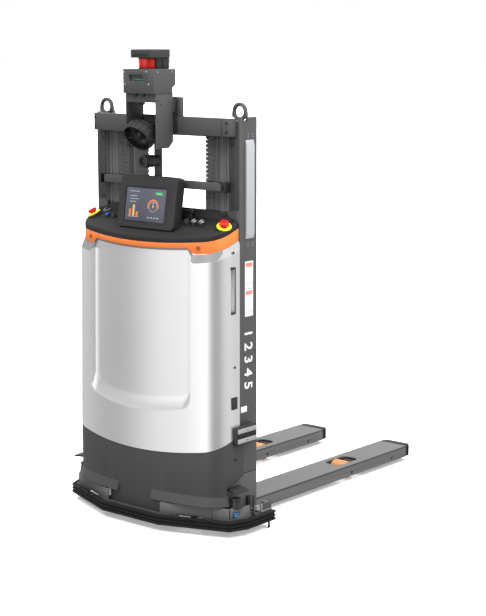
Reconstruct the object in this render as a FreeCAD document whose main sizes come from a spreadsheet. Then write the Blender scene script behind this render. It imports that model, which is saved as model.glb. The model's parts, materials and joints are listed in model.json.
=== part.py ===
import FreeCAD, Part
import math
import os
import re
import Sketcher

# Self-driving pallet stacker, in millimetres.
# Origin: floor level, middle of the overall box. +Z up, the console faces -Y, the forks point to +Y.
# Every size below is a driving dimension. Names that end in _z are heights above the floor, names that
# end in _y are places along the length, and names that end in _x are distances from the middle plane.
# The places named in MEASURED_FROM are given as the distance in from that face of the overall box.

SIZES = {
    # overall box
    "overall_length": 1640,
    "overall_width": 990,
    "overall_height": 1990,
    "running_gap": 0.3,
    # rubber bumper round the base
    "bumper_gap": 30,
    "bumper_height": 42,
    "bumper_thickness": 20,
    "bumper_nose_x": 160,
    "bumper_nose_sweep": 113,
    "bumper_corner_x": 33,
    "bumper_corner_sweep": 85,
    "bumper_side_length": 180,
    "rib_groove": 6,
    "rib_groove_depth": 7,
    "strap_width": 12,
    "strap_thickness": 3,
    "strap_length": 27,
    # welded base plate
    "base_plate": 12,
    "base_rim": 10,
    "base_drop": 36,
    # upright plates either side of the mast
    "column_x": 90,
    "column_front_y": 248,
    "column_depth": 110,
    "column_top_z": 269,
    "column_plate": 8,
    "column_flange": 58,
    "column_cap_drop": 16,
    # feet that cover the bottom of the uprights
    "foot_top_z": 238,
    "foot_toe": 93,
    "foot_toe_z": 196,
    "foot_plate": 5,
    # outline of the body, seen from above
    "body_half_width": 69,
    "body_front_y": 35,
    "body_front_radius": 1198,
    "body_corner_radius": 119,
    "body_taper": 13,
    "cover_wall": 5,
    # dark skirt below the silver cover
    "seam_z": 435,
    "seam_slope": 0.492,
    "skirt_wall": 6,
    "skirt_bottom_z": 131,
    "nose_block_x": 150,
    "joint_gap": 0.8,
    # silver front cover with its long scooped panel
    "trim_z": 717,
    "trim_slope": 0.35,
    "trim_inset": 27,
    "trim_height": 23,
    "tab_height": 50,
    "tab_x": 225,
    "tab_ramp": 34,
    "pillar_bevel": 35,
    "panel_x": 210,
    "panel_depth": 22,
    "scoop_z": 466,
    "scoop_rise": 48,
    "scoop_corner": 34,
    "trim_wall": 4,
    # console cap
    "cap_back_z": 690,
    "cap_slope": 0.38,
    "cap_round": 11,
    "cap_lip_z": 651,
    "cap_lip_x": 269,
    "cap_lip_shoulder_x": 195,
    "cap_lip_shoulder": 7,
    "cap_lip_end_z": 690,
    "cap_lip_thickness": 9,
    # touch screen
    "screen_width": 318,
    "screen_height": 222,
    "screen_depth": 48,
    "screen_corner": 20,
    "screen_lean": 9.4,
    "screen_y": 112,
    "screen_z": 736,
    "glass_width": 232,
    "glass_height": 146,
    "glass_thickness": 3,
    "glass_shift_x": 9,
    "glass_bottom": 25,
    "screen_foot_width": 120,
    "screen_foot_depth": 22,
    # controls on the console
    "stop_x": 124,
    "stop_y": 190,
    "stop_z": 709,
    "stop_lean_side": 0.34,
    "stop_lean_front": 0.33,
    "stop_ring_radius": 31,
    "stop_ring_height": 8,
    "stop_head_radius": 20,
    "stop_stem_radius": 13,
    "stop_head_height": 14,
    "stop_travel": 5,
    "stop_boss_depth": 36,
    "control_y": 190,
    "key_x": 325,
    "selector_inner_x": 285,
    "selector_outer_x": 243,
    "reset_x": 205,
    "lamp_button_x": 245,
    "bezel_radius": 14,
    "bezel_height": 9,
    "knob_radius": 11,
    "knob_height": 13,
    "button_travel": 3,
    # top beam and lifting eyes
    "beam_half_length": 107,
    "beam_z": 345,
    "beam_height": 72,
    "beam_depth": 43,
    "beam_round": 16,
    "eye_x": 118,
    "eye_y": 283,
    "eye_z": 247,
    "eye_radius": 38,
    "eye_hole_radius": 22,
    "eye_land": 8,
    "eye_round": 4,
    "eye_shank_radius": 10,
    # fixed and lifting mast rails, both open towards the middle
    "rail_front_y": 260,
    "rail_depth": 90,
    "rail_plate": 8,
    "outer_rail_x": 145,
    "outer_rail_flange": 38,
    "inner_rail_x": 186,
    "inner_rail_flange": 34,
    "rail_bottom_z": 92,
    "rail_top_z": 295,
    "pad_length": 70,
    "mast_tie_lift": 210,
    "mast_tie_height": 70,
    "crosshead_height": 60,
    "crosshead_depth": 56,
    # lift cylinders and chains
    "cylinder_x": 295,
    "cylinder_y": 307,
    "cylinder_radius": 23,
    "cylinder_bore": 17,
    "cylinder_top_z": 550,
    "rod_radius": 15,
    "rod_bottom_z": 140,
    "chain_x": 253,
    "chain_width": 14,
    "chain_thickness": 8,
    "sheave_radius": 30,
    "sheave_width": 18,
    "sheave_axle_radius": 8,
    "sheave_z": 392,
    "chain_anchor_z": 900,
    # carriage and forks
    "carriage_x": 229,
    "carriage_plate": 9,
    "carriage_height": 400,
    "carriage_bar_height": 80,
    "carriage_bar": 20,
    "heel_y": 379,
    "heel_thickness": 16,
    "heel_height": 330,
    "fork_outer_x": 329,
    "fork_width": 153,
    "fork_top_z": 78,
    "fork_skirt_z": 24,
    "fork_plate": 6,
    "fork_end_y": 48,
    "fork_nose_corner": 18,
    "window_width": 88,
    "window_length": 162,
    "window_y": 470,
    "window_corner": 30,
    # fixed legs inside the forks, with their load rollers
    "leg_width": 128,
    "leg_plate": 7,
    "leg_top_z": 67,
    "leg_bottom_z": 26,
    "leg_end_y": 72,
    "roller_radius": 40,
    "roller_width": 74,
    "roller_axle_radius": 9,
    "roller_bore_gap": 0.05,
    # drive unit and casters
    "drive_y": 180,
    "drive_wheel_radius": 105,
    "drive_wheel_width": 72,
    "drive_axle_radius": 14,
    "turret_radius": 90,
    "turret_z": 232,
    "turret_plate": 14,
    "motor_radius": 62,
    "motor_height": 190,
    "caster_x": 233,
    "caster_y": 132,
    "caster_wheel_radius": 40,
    "caster_wheel_width": 32,
    "caster_trail": 24,
    "caster_top_z": 112,
    "caster_arm": 5,
    "caster_axle_radius": 5,
    "caster_hole_radius": 80,
    "caster_bridge": 40,
    "caster_bridge_gap": 3,
    # sensors at the two front corners
    "fascia_inset": 28,
    "fascia_wall": 5,
    "fascia_height": 48,
    "fascia_slot_height": 26,
    "scanner_x": 68,
    "scanner_y": 180,
    "scanner_radius": 20,
    "scanner_head_x": 52,
    "scanner_head_radius": 22,
    "scanner_head_height": 40,
    "aerial_x": 25,
    "aerial_y": 258,
    "aerial_radius": 5,
    "aerial_height": 86,
    "hood_z": 187,
    "hood_plate": 8,
    "hood_reach": 75,
    "hood_length": 82,
    # charging contacts on the right-hand upright
    "charge_z": 379,
    "charge_height": 76,
    "charge_front_y": 180,
    "charge_length": 132,
    "charge_reach": 45,
    "contact_height": 20,
    "contact_plate": 4,
    # pull handles let into the cover's sides
    "handle_y": 192,
    "handle_z": 1065,
    "handle_height": 196,
    "handle_width": 28,
    "handle_depth": 20,
    "handle_wall": 3,
    # status lamps on the uprights
    "lamp_front_y": 285,
    "lamp_width": 62,
    "lamp_z": 766,
    "lamp_height": 406,
    "lamp_thickness": 13,
    "lamp_bevel": 9,
    # cross bar and clear guard behind the console
    "bar_z": 570,
    "bar_height": 36,
    "bar_thickness": 12,
    "bar_half_length": 123,
    "bar_clip_x": 245,
    "bar_setback": 22,
    "guard_thickness": 3,
    # navigation tower
    "tower_x": 85,
    "tower_front_y": 98,
    "tower_back_y": 202,
    "tower_z": 402,
    "tower_plate": 4,
    "tower_corner": 26,
    "tower_back_top_z": 268,
    "post_x": 20,
    "post_depth": 8,
    "post_foot_z": 718,
    "bracket_top_z": 193,
    "bracket_outer_x": 123,
    "bracket_inner_x": 46,
    "box_z": 178,
    "box_height": 99,
    "box_front_y": 85,
    "box_back_y": 218,
    "box_step": 19,
    "box_step_height": 34,
    "slot_z": 128,
    "slot_height": 26,
    "slot_width": 76,
    "roof_x": 57,
    "roof_front_y": 102,
    "roof_back_y": 216,
    "roof_height": 33,
    "roof_wall": 5,
    "window_radius": 44,
    "lidar_y": 144,
    "lidar_body_x": 48,
    "fin_pitch": 9,
    "fin_gap": 4,
    # warning lamp and camera below the tower
    "horn_radius": 73,
    "horn_depth": 72,
    "horn_y": 80,
    "horn_z": 384,
    "horn_lean": 52,
    "camera_radius": 26.5,
    "camera_length": 92,
    "camera_z": 458,
    # power pack behind the cover
    "battery_width": 560,
    "battery_depth": 98,
    "battery_height": 330,
    "battery_z": 520,
    "pump_width": 210,
    "pump_height": 180,
    # screws in the sides of the cover and the skirt
    "screw_radius": 5,
    "screw_height": 3,
    "screw_seat": 0.1,
    "screw_setback": 52,
    "screw_high_z": 811,
    "screw_middle_z": 1285,
    "screw_low_z": 315,
}

MEASURED_FROM = {
    "-overall_length / 2 + {}": """
        column_front_y body_front_y screen_y stop_y control_y eye_y rail_front_y cylinder_y heel_y
        drive_y caster_y scanner_y aerial_y charge_front_y handle_y lamp_front_y tower_front_y
        tower_back_y box_front_y box_back_y roof_front_y roof_back_y lidar_y horn_y
    """,
    "overall_length / 2 - {}": """
        fork_end_y window_y leg_end_y
    """,
    "overall_width / 2 - {}": """
        column_x bumper_corner_x body_half_width panel_x tab_x cap_lip_x cap_lip_shoulder_x stop_x
        key_x selector_inner_x selector_outer_x reset_x lamp_button_x beam_half_length eye_x
        outer_rail_x inner_rail_x cylinder_x chain_x carriage_x scanner_x scanner_head_x aerial_x
        bar_half_length bar_clip_x caster_x
    """,
    "overall_height - {}": """
        column_top_z trim_z cap_back_z cap_lip_z cap_lip_end_z screen_z stop_z beam_z eye_z rail_top_z
        cylinder_top_z sheave_z handle_z lamp_z bar_z tower_z tower_back_top_z post_foot_z
        bracket_top_z box_z slot_z horn_z camera_z
        screw_high_z screw_middle_z
    """,
}
FORMULAS = {alias: formula for formula, names in MEASURED_FROM.items() for alias in names.split()}

doc = FreeCAD.newDocument("PalletStacker")
sheet = doc.addObject("Spreadsheet::Sheet", "Sizes")
for row, (alias, size) in enumerate(SIZES.items(), 1):
    formula = FORMULAS.get(alias)
    sheet.set(f"A{row}", alias)
    sheet.set(f"B{row}", "=" + formula.format(size) if formula else str(size))
    sheet.setAlias(f"B{row}", alias)
doc.recompute()

# Places that several pieces share, as expressions on the sizes
FRONT = "(-overall_length / 2)"
TIP = "(overall_length / 2)"
HALF = "(overall_width / 2)"
BUMPER_TOP = "(bumper_gap + bumper_height)"
BUMPER_CORNER_Y = f"({FRONT} + bumper_nose_sweep)"
BUMPER_SIDE_Y = f"({BUMPER_CORNER_Y} + bumper_corner_sweep)"
BASE_BACK = f"({BUMPER_SIDE_Y} + bumper_side_length)"
COLUMN_BACK = "(column_front_y + column_depth)"
BODY_BACK = "(column_front_y - joint_gap)"
RAIL_BACK = "(rail_front_y + rail_depth)"
CAP_BACK = "(column_front_y - joint_gap)"
BEAM_FRONT = "(column_front_y - beam_depth)"
POST_FRONT = f"({BEAM_FRONT} - post_depth)"
FORK_MIDDLE = "(fork_outer_x - fork_width / 2)"
CAP_FRONT = "(body_front_y + trim_inset)"
TOWER_TOP = "(box_z + box_height)"
X_AXIS = FreeCAD.Vector(1, 0, 0)
Y_AXIS = FreeCAD.Vector(0, 1, 0)
Z_AXIS = FreeCAD.Vector(0, 0, 1)
PLANES = {"x": "YZ_Plane", "y": "XZ_Plane", "z": "XY_Plane"}

nodes = []


def linked(text):
    """The expression with each size name pointed at its cell in the sheet."""
    return re.sub(r"[a-z_]+", lambda word: ("Sizes." if word.group() in SIZES else "") + word.group(), str(text))


def value(text):
    return float(sheet.evalExpression(str(text)))


def bind(piece, **sizes):
    for prop, text in sizes.items():
        piece.setExpression(prop, linked(text))
    return piece


def move(piece, x="0", y="0", z="0"):
    for letter, text in zip("xyz", (x, y, z)):
        piece.setExpression(f"Placement.Base.{letter}", linked(text))
    return piece


def turned(piece, direction):
    """Turns a piece made along +Z until it points along direction."""
    piece.Placement = FreeCAD.Placement(FreeCAD.Vector(), FreeCAD.Rotation(Z_AXIS, FreeCAD.Vector(*direction)))
    return piece


def node(name, piece):
    """Names a finished sub-part, which is then written to a file of that name."""
    piece.Label = name
    nodes.append(piece)
    return piece


def block(name, x, y, z):
    """A box between two places on each axis."""
    piece = bind(doc.addObject("Part::Box", name), Length=f"{x[1]} - ({x[0]})", Width=f"{y[1]} - ({y[0]})",
                 Height=f"{z[1]} - ({z[0]})")
    return move(piece, x[0], y[0], z[0])


def disc(name, radius, length, x, y, z, direction=(0, 0, 1)):
    piece = bind(doc.addObject("Part::Cylinder", name), Radius=radius, Height=length)
    return move(turned(piece, direction), x, y, z)


def taper(name, radii, length, x, y, z, direction=(0, 0, 1)):
    piece = bind(doc.addObject("Part::Cone", name), Radius1=radii[0], Radius2=radii[1], Height=length)
    return move(turned(piece, direction), x, y, z)


def cut(name, base, *tools):
    tool = tools[0] if len(tools) == 1 else fuse(name + "Tools", *tools)
    piece = doc.addObject("Part::Cut", name)
    piece.Base, piece.Tool = base, tool
    return piece


def common(name, base, tool):
    piece = doc.addObject("Part::Common", name)
    piece.Base, piece.Tool = base, tool
    return piece


def fuse(name, *pieces):
    piece = doc.addObject("Part::MultiFuse", name)
    piece.Shapes = list(pieces)
    piece.Refine = True
    return piece


def mirror(name, source):
    """The same piece on the other side of the middle plane."""
    piece = doc.addObject("Part::Mirroring", name)
    piece.Source, piece.Normal = source, X_AXIS
    return piece


def pair(name, right):
    """One node that holds a right-hand piece and its mirror image as separate solids."""
    return fuse(name, right, mirror(name + "Left", right))


def softened(name, source, radius, chosen, kind="Part::Fillet", other=None):
    """Rounds or bevels each edge of the source that chosen() picks."""
    doc.recompute()
    piece = doc.addObject(kind, name)
    piece.Base = source
    first = value(radius)
    second = first if other is None else value(other)
    picked = [index for index, edge in enumerate(source.Shape.Edges, 1) if chosen(edge)]
    piece.Edges = [(index, first, second) for index in picked]
    return piece


def upright(edge):
    return is_line(edge) and abs(edge.tangentAt(edge.FirstParameter).z) > 0.999


def is_line(edge):
    return edge.Curve.TypeId == "Part::GeomLine"


def level_at(height, tolerance=0.01):
    return lambda edge: abs(edge.BoundBox.ZMin - height) < tolerance and abs(edge.BoundBox.ZMax - height) < tolerance


def polygon(name, holder, normal, points):
    """A closed sketch of straight lines whose corners are each bound to two expressions."""
    sketch = holder.newObject("Sketcher::SketchObject", name + "Sketch")
    plane = next(item for item in holder.Origin.OriginFeatures if item.Role == PLANES[normal])
    sketch.AttachmentSupport = [(plane, "")]
    sketch.MapMode = "FlatFace"
    corners = [FreeCAD.Vector(value(across), value(up), 0) for across, up in points]
    count = len(corners)
    sketch.addGeometry([Part.LineSegment(corners[i], corners[(i + 1) % count]) for i in range(count)])
    rules = [Sketcher.Constraint("Coincident", i, 2, (i + 1) % count, 1) for i in range(count)]
    for i, corner in enumerate(corners):
        rules.append(Sketcher.Constraint("DistanceX", -1, 1, i, 1, corner.x))
        rules.append(Sketcher.Constraint("DistanceY", -1, 1, i, 1, corner.y))
    sketch.addConstraint(rules)
    for i, (across, up) in enumerate(points):
        sketch.setExpression(f"Constraints[{count + 2 * i}]", linked(across))
        sketch.setExpression(f"Constraints[{count + 2 * i + 1}]", linked(up))
    return sketch


def prism(name, normal, points, low, high):
    """A polygon padded from low to high along x, y or z. Points are (y, z), (x, z) or (x, y)."""
    body = doc.addObject("PartDesign::Body", name)
    pad = body.newObject("PartDesign::Pad", name + "Pad")
    pad.Profile = polygon(name, body, normal, points)
    bind(pad, Length=f"{high} - ({low})")
    start = {"x": (low, "0", "0"), "y": ("0", high, "0"), "z": ("0", "0", low)}[normal]
    return move(body, *start)


def outline(name, inset, z, back=BODY_BACK):
    """The body's plan view: straight sides, round corners and one long arc across the front."""
    sketch = doc.addObject("Sketcher::SketchObject", name)
    half = value(f"body_half_width - ({inset})")
    big = value(f"body_front_radius - ({inset})")
    small = value(f"body_corner_radius - ({inset})")
    centre_y = value("body_front_y + body_front_radius")
    corner_y = centre_y - math.sqrt((big - small) ** 2 - (half - small) ** 2)
    swing = math.atan2(half - small, centre_y - corner_y)
    end = value(back)
    across, up = FreeCAD.Vector(half, 0, 0), FreeCAD.Vector(0, 0, 1)
    right, left = FreeCAD.Vector(half - small, corner_y, 0), FreeCAD.Vector(small - half, corner_y, 0)
    middle = FreeCAD.Vector(0, centre_y, 0)
    down = -math.pi / 2
    sketch.addGeometry([
        Part.LineSegment(FreeCAD.Vector(half, end, 0), FreeCAD.Vector(-half, end, 0)),
        Part.LineSegment(FreeCAD.Vector(-half, end, 0), FreeCAD.Vector(-half, corner_y, 0)),
        Part.ArcOfCircle(Part.Circle(left, up, small), -math.pi, down - swing),
        Part.ArcOfCircle(Part.Circle(middle, up, big), down - swing, down + swing),
        Part.ArcOfCircle(Part.Circle(right, up, small), down + swing, 0),
        Part.LineSegment(FreeCAD.Vector(half, corner_y, 0), across + FreeCAD.Vector(0, end, 0)),
    ])
    sketch.addConstraint([
        Sketcher.Constraint("Coincident", 0, 2, 1, 1),
        Sketcher.Constraint("Coincident", 5, 2, 0, 1),
        Sketcher.Constraint("Tangent", 1, 2, 2, 1),
        Sketcher.Constraint("Tangent", 2, 2, 3, 1),
        Sketcher.Constraint("Tangent", 3, 2, 4, 1),
        Sketcher.Constraint("Tangent", 4, 2, 5, 1),
        Sketcher.Constraint("Horizontal", 0),
        Sketcher.Constraint("Vertical", 1),
        Sketcher.Constraint("Vertical", 5),
        Sketcher.Constraint("PointOnObject", 3, 3, -2),
        Sketcher.Constraint("Equal", 2, 4),
        Sketcher.Constraint("Radius", 3, big),
        Sketcher.Constraint("Radius", 4, small),
        Sketcher.Constraint("DistanceX", -1, 1, 0, 1, half),
        Sketcher.Constraint("DistanceY", -1, 1, 0, 1, end),
        Sketcher.Constraint("DistanceY", -1, 1, 3, 3, centre_y),
    ])
    radii = [f"body_front_radius - ({inset})", f"body_corner_radius - ({inset})"]
    places = [f"body_half_width - ({inset})", back, "body_front_y + body_front_radius"]
    for index, text in enumerate(radii + places, 11):
        sketch.setExpression(f"Constraints[{index}]", linked(text))
    return move(sketch, z=z)


def column_of(name, inset, low, high, back=BODY_BACK):
    """The body's plan view, drawn straight up from low to high."""
    piece = doc.addObject("Part::Extrusion", name)
    piece.Base = outline(name + "Outline", inset, low, back)
    piece.DirMode, piece.Dir, piece.Solid = "Custom", Z_AXIS, True
    return bind(piece, LengthFwd=f"{high} - ({low})")


def tapered(name, low_inset, high_inset, low, high):
    """The body's plan view, drawn up from low to high with its walls leaning in."""
    piece = doc.addObject("Part::Loft", name)
    piece.Sections = [outline(name + "Low", low_inset, low), outline(name + "High", high_inset, high)]
    piece.Solid, piece.Ruled = True, True
    return piece


def sloped(base_z, slope, at_y, lift="0"):
    """Height of a plane that rises to the back: base_z at the uprights' front face."""
    return f"{base_z} + {slope} * (({at_y}) - column_front_y) + ({lift})"


def below_slope(name, base_z, slope, lift="0", floor="0"):
    """Everything below a tilted plane, wide enough for the whole body."""
    front, back = f"{FRONT} - 20", "0"
    points = [(front, floor), (back, floor), (back, sloped(base_z, slope, back, lift)),
              (front, sloped(base_z, slope, front, lift))]
    return prism(name, "x", points, f"-{HALF} - 20", f"{HALF} + 20")


def base_outline(inset, back=BASE_BACK):
    """The bumper's plan view as a closed polygon, moved inwards by inset."""
    nose_turn = "atan(bumper_nose_sweep / (bumper_corner_x - bumper_nose_x))"
    corner_turn = f"atan(bumper_corner_sweep / ({HALF} - bumper_corner_x))"
    nose = (f"bumper_nose_x - ({inset}) * tan({nose_turn} / 2)", f"{FRONT} + {inset}")
    corner_lean = f"(({nose_turn} + {corner_turn}) / 2)"
    corner_reach = f"(({inset}) / cos(({corner_turn} - {nose_turn}) / 2))"
    corner = (f"bumper_corner_x - {corner_reach} * sin({corner_lean})",
              f"{BUMPER_CORNER_Y} + {corner_reach} * cos({corner_lean})")
    side = (f"{HALF} - ({inset})", f"{BUMPER_SIDE_Y} + ({inset}) * tan((90 deg - {corner_turn}) / 2)")
    rear = (f"{HALF} - ({inset})", back)
    right = [nose, corner, side, rear]
    left = [(f"-({across})", up) for across, up in reversed(right)]
    return right + left


def base_solid(name, inset, low, high, back=BASE_BACK):
    return prism(name, "z", base_outline(inset, back), low, high)


# Base: a welded tray, the rubber bumper round it and the strap that earths it
def chassis_base():
    plate_z = f"{BUMPER_TOP} - base_plate"
    tray = cut("BaseTray", base_solid("BaseOuter", "bumper_thickness", "base_drop", BUMPER_TOP),
               base_solid("BaseInner", "bumper_thickness + base_rim", "base_drop - 1", plate_z,
                          f"{BASE_BACK} - base_rim"))
    holes = [disc("DriveHole", "drive_wheel_radius + 12", "bumper_height", "0", "drive_y", "bumper_gap + 1")]
    for side, sign in (("Right", ""), ("Left", "-")):
        holes.append(disc(f"CasterHole{side}", "caster_hole_radius", "bumper_height", f"{sign}caster_x", "caster_y",
                          "bumper_gap + 1"))
    tray = cut("BaseHoles", tray, *holes)
    bridges = []
    for side, sign in (("Right", ""), ("Left", "-")):
        span = "(caster_hole_radius + caster_bridge_gap + 8)"
        along_y = ("caster_y - caster_bridge / 2", "caster_y + caster_bridge / 2")
        bridge = block(f"Bridge{side}", (f"{sign}caster_x - {span}", f"{sign}caster_x + {span}"), along_y,
                       (BUMPER_TOP, "caster_top_z + 8"))
        gap = block(f"BridgeGap{side}", (f"{sign}caster_x - {span} + 8", f"{sign}caster_x + {span} - 8"),
                    ("caster_y - caster_bridge", "caster_y + caster_bridge"), (f"{BUMPER_TOP} - 1", "caster_top_z"))
        bridges.append(cut(f"CasterBridge{side}", bridge, gap))
    lug = block("ClampLug", (f"{HALF} - 33", f"{HALF} - 22"), (f"{BASE_BACK} - 62", f"{BASE_BACK} - 4"),
                (f"{BUMPER_TOP} - 1", f"{BUMPER_TOP} + 34"))
    reach, ring_z = "(drive_wheel_radius + 13)", "(turret_z + turret_plate)"
    along_y = ("drive_y - 30", "drive_y + 30")
    arch = block("CradleForm", (f"-{reach} - 12", f"{reach} + 12"), along_y, (BUMPER_TOP, f"{ring_z} + 12"))
    arch = cut("Cradle", arch,
               block("CradleGap", (f"-{reach}", reach), ("drive_y - 31", "drive_y + 31"), (f"{BUMPER_TOP} - 1", ring_z)),
               disc("CradleBore", "motor_radius + 1", "40", "0", "drive_y", f"{ring_z} - 10"))
    node("chassis_base", fuse("ChassisBase", tray, *bridges, arch, lug, mirror("ClampLugLeft", lug)))


def bumper():
    ring = cut("BumperRing", base_solid("BumperOuter", "0", "bumper_gap", BUMPER_TOP),
               base_solid("BumperInner", "bumper_thickness", "bumper_gap - 1", f"{BUMPER_TOP} + 1", f"{BASE_BACK} + 1"))
    grooves = []
    for number, share in enumerate(("1 / 3", "2 / 3"), 1):
        low = f"bumper_gap + bumper_height * {share} - rib_groove / 2"
        grooves.append(cut(f"RibGroove{number}", base_solid(f"GrooveOuter{number}", "-1", low, f"{low} + rib_groove"),
                           base_solid(f"GrooveInner{number}", "rib_groove_depth", f"{low} - 1",
                                      f"{low} + rib_groove + 1", f"{BASE_BACK} + 2")))
    node("bumper_strip", cut("BumperStrip", ring, *grooves))
    strap = block("Strap", (f"{HALF} - strap_thickness - 4", f"{HALF} - 4"),
                  (f"{BASE_BACK} - 34 - strap_width", f"{BASE_BACK} - 34"),
                  ("bumper_gap - strap_length", "bumper_gap"))
    node("grounding_strap", strap)


# Lower body
def skirt():
    form = cut("SkirtShell", column_of("SkirtOuter", "0", BUMPER_TOP, "seam_z + 40"),
               column_of("SkirtInner", "skirt_wall", f"{BUMPER_TOP} - 1", "seam_z + 41", f"{BODY_BACK} + 1"))
    form = common("SkirtTop", form, below_slope("SkirtLimit", "seam_z", "seam_slope", "-joint_gap", "bumper_gap"))
    slots = [block(f"SensorSlot{side}", (low, high), (f"{FRONT}", f"{BODY_BACK} + 5"),
                   (f"{BUMPER_TOP} - 1", "skirt_bottom_z"))
             for side, low, high in (("Right", "nose_block_x", HALF), ("Left", f"-{HALF}", "-nose_block_x"))]
    toe = foot_cover("ToeRoom", "3")
    node("base_skirt", cut("BaseSkirt", form, *slots, toe, mirror("ToeRoomLeft", toe)))


def foot_cover(name, grow):
    """The foot plate's outline pulled out by grow, as the room it needs or as the plate itself."""
    points = [(f"{COLUMN_BACK} + ({grow})", BUMPER_TOP), (f"{COLUMN_BACK} + ({grow})", f"foot_top_z + ({grow})"),
              (f"column_front_y - ({grow}) / 2", f"foot_top_z + ({grow})"),
              (f"column_front_y - foot_toe - ({grow})", f"foot_toe_z + ({grow})"),
              (f"column_front_y - foot_toe - ({grow})", BUMPER_TOP)]
    return prism(name, "x", points, f"column_x - foot_plate - ({grow}) / 4", f"column_x + ({grow}) * 8")


def foot_covers():
    node("foot_covers", pair("FootCovers", foot_cover("FootCover", "0")))


# Uprights
def columns():
    inner = "column_x - column_plate"
    web = block("ColumnWeb", (inner, "column_x"), ("column_front_y", COLUMN_BACK), (BUMPER_TOP, "column_top_z"))
    flanges = [block(f"Column{side}Flange", ("column_x - column_flange", inner), (low, high),
                     (BUMPER_TOP, "column_top_z - column_cap_drop"))
               for side, low, high in (("Front", "column_front_y", "column_front_y + column_plate"),
                                       ("Rear", f"{COLUMN_BACK} - column_plate", COLUMN_BACK))]
    lid = block("ColumnLid", ("column_x - column_flange", inner), ("column_front_y", COLUMN_BACK),
                ("column_top_z - column_cap_drop - column_plate", "column_top_z - column_cap_drop"))
    eye_room = block("EyeRoom", (f"{inner} - 1", "column_x + 1"), ("eye_y - eye_land - 3", "eye_y + eye_land + 3"),
                     ("column_top_z - column_cap_drop", "column_top_z + 1"))
    foot_room = block("FootRoom", ("column_x - foot_plate - running_gap", "column_x + 1"),
                      ("column_front_y - 1", f"{COLUMN_BACK} + 1"), (f"{BUMPER_TOP} - 1", "foot_top_z + joint_gap"))
    node("columns", pair("Columns", cut("ColumnRight", fuse("ColumnWhole", web, *flanges, lid), eye_room, foot_room)))


def mast_rails():
    node("mast_rails", pair("MastRails", channel("OuterRail", "outer_rail_x", "outer_rail_flange", BUMPER_TOP,
                                                 "rail_top_z")))
    rail = inner_rail()
    tie = block("MastTie", ("-inner_rail_x + inner_rail_flange - 1", "inner_rail_x - inner_rail_flange + 1"),
                ("rail_front_y", "rail_front_y + rail_plate"),
                ("rail_bottom_z + mast_tie_lift", "rail_bottom_z + mast_tie_lift + mast_tie_height"))
    node("inner_mast_rails", fuse("InnerMastRails", rail, mirror("InnerRailLeft", rail), tie))


def channel(name, outer, flange, low, high):
    """A rolled channel that stands upright and opens towards the middle."""
    points = [(outer, "rail_front_y"), (outer, RAIL_BACK), (f"{outer} - {flange}", RAIL_BACK),
              (f"{outer} - {flange}", f"{RAIL_BACK} - rail_plate"), (f"{outer} - rail_plate", f"{RAIL_BACK} - rail_plate"),
              (f"{outer} - rail_plate", "rail_front_y + rail_plate"),
              (f"{outer} - {flange}", "rail_front_y + rail_plate"), (f"{outer} - {flange}", "rail_front_y")]
    return prism(name, "z", points, low, high)


def inner_rail():
    rail = channel("InnerRail", "inner_rail_x", "inner_rail_flange", "rail_bottom_z", "rail_top_z")
    pads = [block(f"RailPad{number}", ("inner_rail_x", "outer_rail_x - rail_plate - running_gap"),
                  ("rail_front_y + rail_plate + running_gap", f"{RAIL_BACK} - rail_plate - running_gap"),
                  (low, f"{low} + pad_length"))
            for number, low in enumerate(("rail_bottom_z + 30", "rail_bottom_z + 290"), 1)]
    return fuse("InnerRailRight", rail, *pads)


def top_beam():
    beam = block("Beam", ("-beam_half_length", "beam_half_length"),
                 ("column_front_y - beam_depth", "column_front_y"), ("beam_z", "beam_z + beam_height"))
    front = value("column_front_y - beam_depth")
    rounded = softened("TopBeam", beam, "beam_round", lambda edge: upright(edge) and edge.BoundBox.YMax < front + 1)
    node("top_beam", rounded)


def lifting_eyes():
    inner, outer = "eye_hole_radius", "eye_radius"
    half, land = "(eye_land / 2 + eye_round)", "(eye_land / 2)"
    points = [(inner, f"-{land}"), (f"{inner} + eye_round", f"-{half}"), (f"{outer} - eye_round", f"-{half}"),
              (outer, f"-{land}"), (outer, land), (f"{outer} - eye_round", half), (f"{inner} + eye_round", half),
              (inner, land)]
    body = doc.addObject("PartDesign::Body", "EyeRing")
    ring = body.newObject("PartDesign::Revolution", "EyeRingTurn")
    ring.Profile = polygon("EyeRing", body, "z", points)
    ring.ReferenceAxis = (next(item for item in body.Origin.OriginFeatures if item.Role == "Y_Axis"), [""])
    ring.Angle = 360
    move(body, "eye_x", "eye_y", "eye_z")
    shelf = "column_top_z - column_cap_drop"
    foot = taper("EyeFoot", ("eye_shank_radius + 8", "eye_shank_radius"), f"eye_z - eye_radius + 6 - ({shelf})",
                 "eye_x", "eye_y", shelf)
    cheek = f"({land} + eye_round / 2)"
    cheeks = block("EyeCheekForm", (f"eye_x - {outer}", f"eye_x + {outer}"), (f"eye_y - {cheek}", f"eye_y + {cheek}"),
                   ("column_top_z", "eye_z"))
    cheeks = cut("EyeCheeks", cheeks, disc("EyeGap", f"{inner} + eye_round", f"4 * {cheek}", "eye_x",
                                           f"eye_y - 2 * {cheek}", "eye_z", (0, 1, 0)))
    node("lifting_eyes", pair("LiftingEyes", fuse("EyeRight", body, foot, cheeks)))


def status_lamps():
    lamp = block("Lamp", ("column_x", "column_x + lamp_thickness"),
                 ("lamp_front_y", "lamp_front_y + lamp_width"), ("lamp_z", "lamp_z + lamp_height"))
    face = value("column_x + lamp_thickness")
    lamp = softened("LampBevel", lamp, "lamp_bevel", lambda edge: edge.BoundBox.XMin > face - 0.01, "Part::Chamfer")
    node("status_lamps", pair("StatusLamps", lamp))


# Silver front cover and its orange trim
def cover_inset(extra, z):
    """Inset of the leaning cover wall at height z."""
    return f"{extra} + body_taper * (({z}) - seam_z) / (trim_z - seam_z)"


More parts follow.
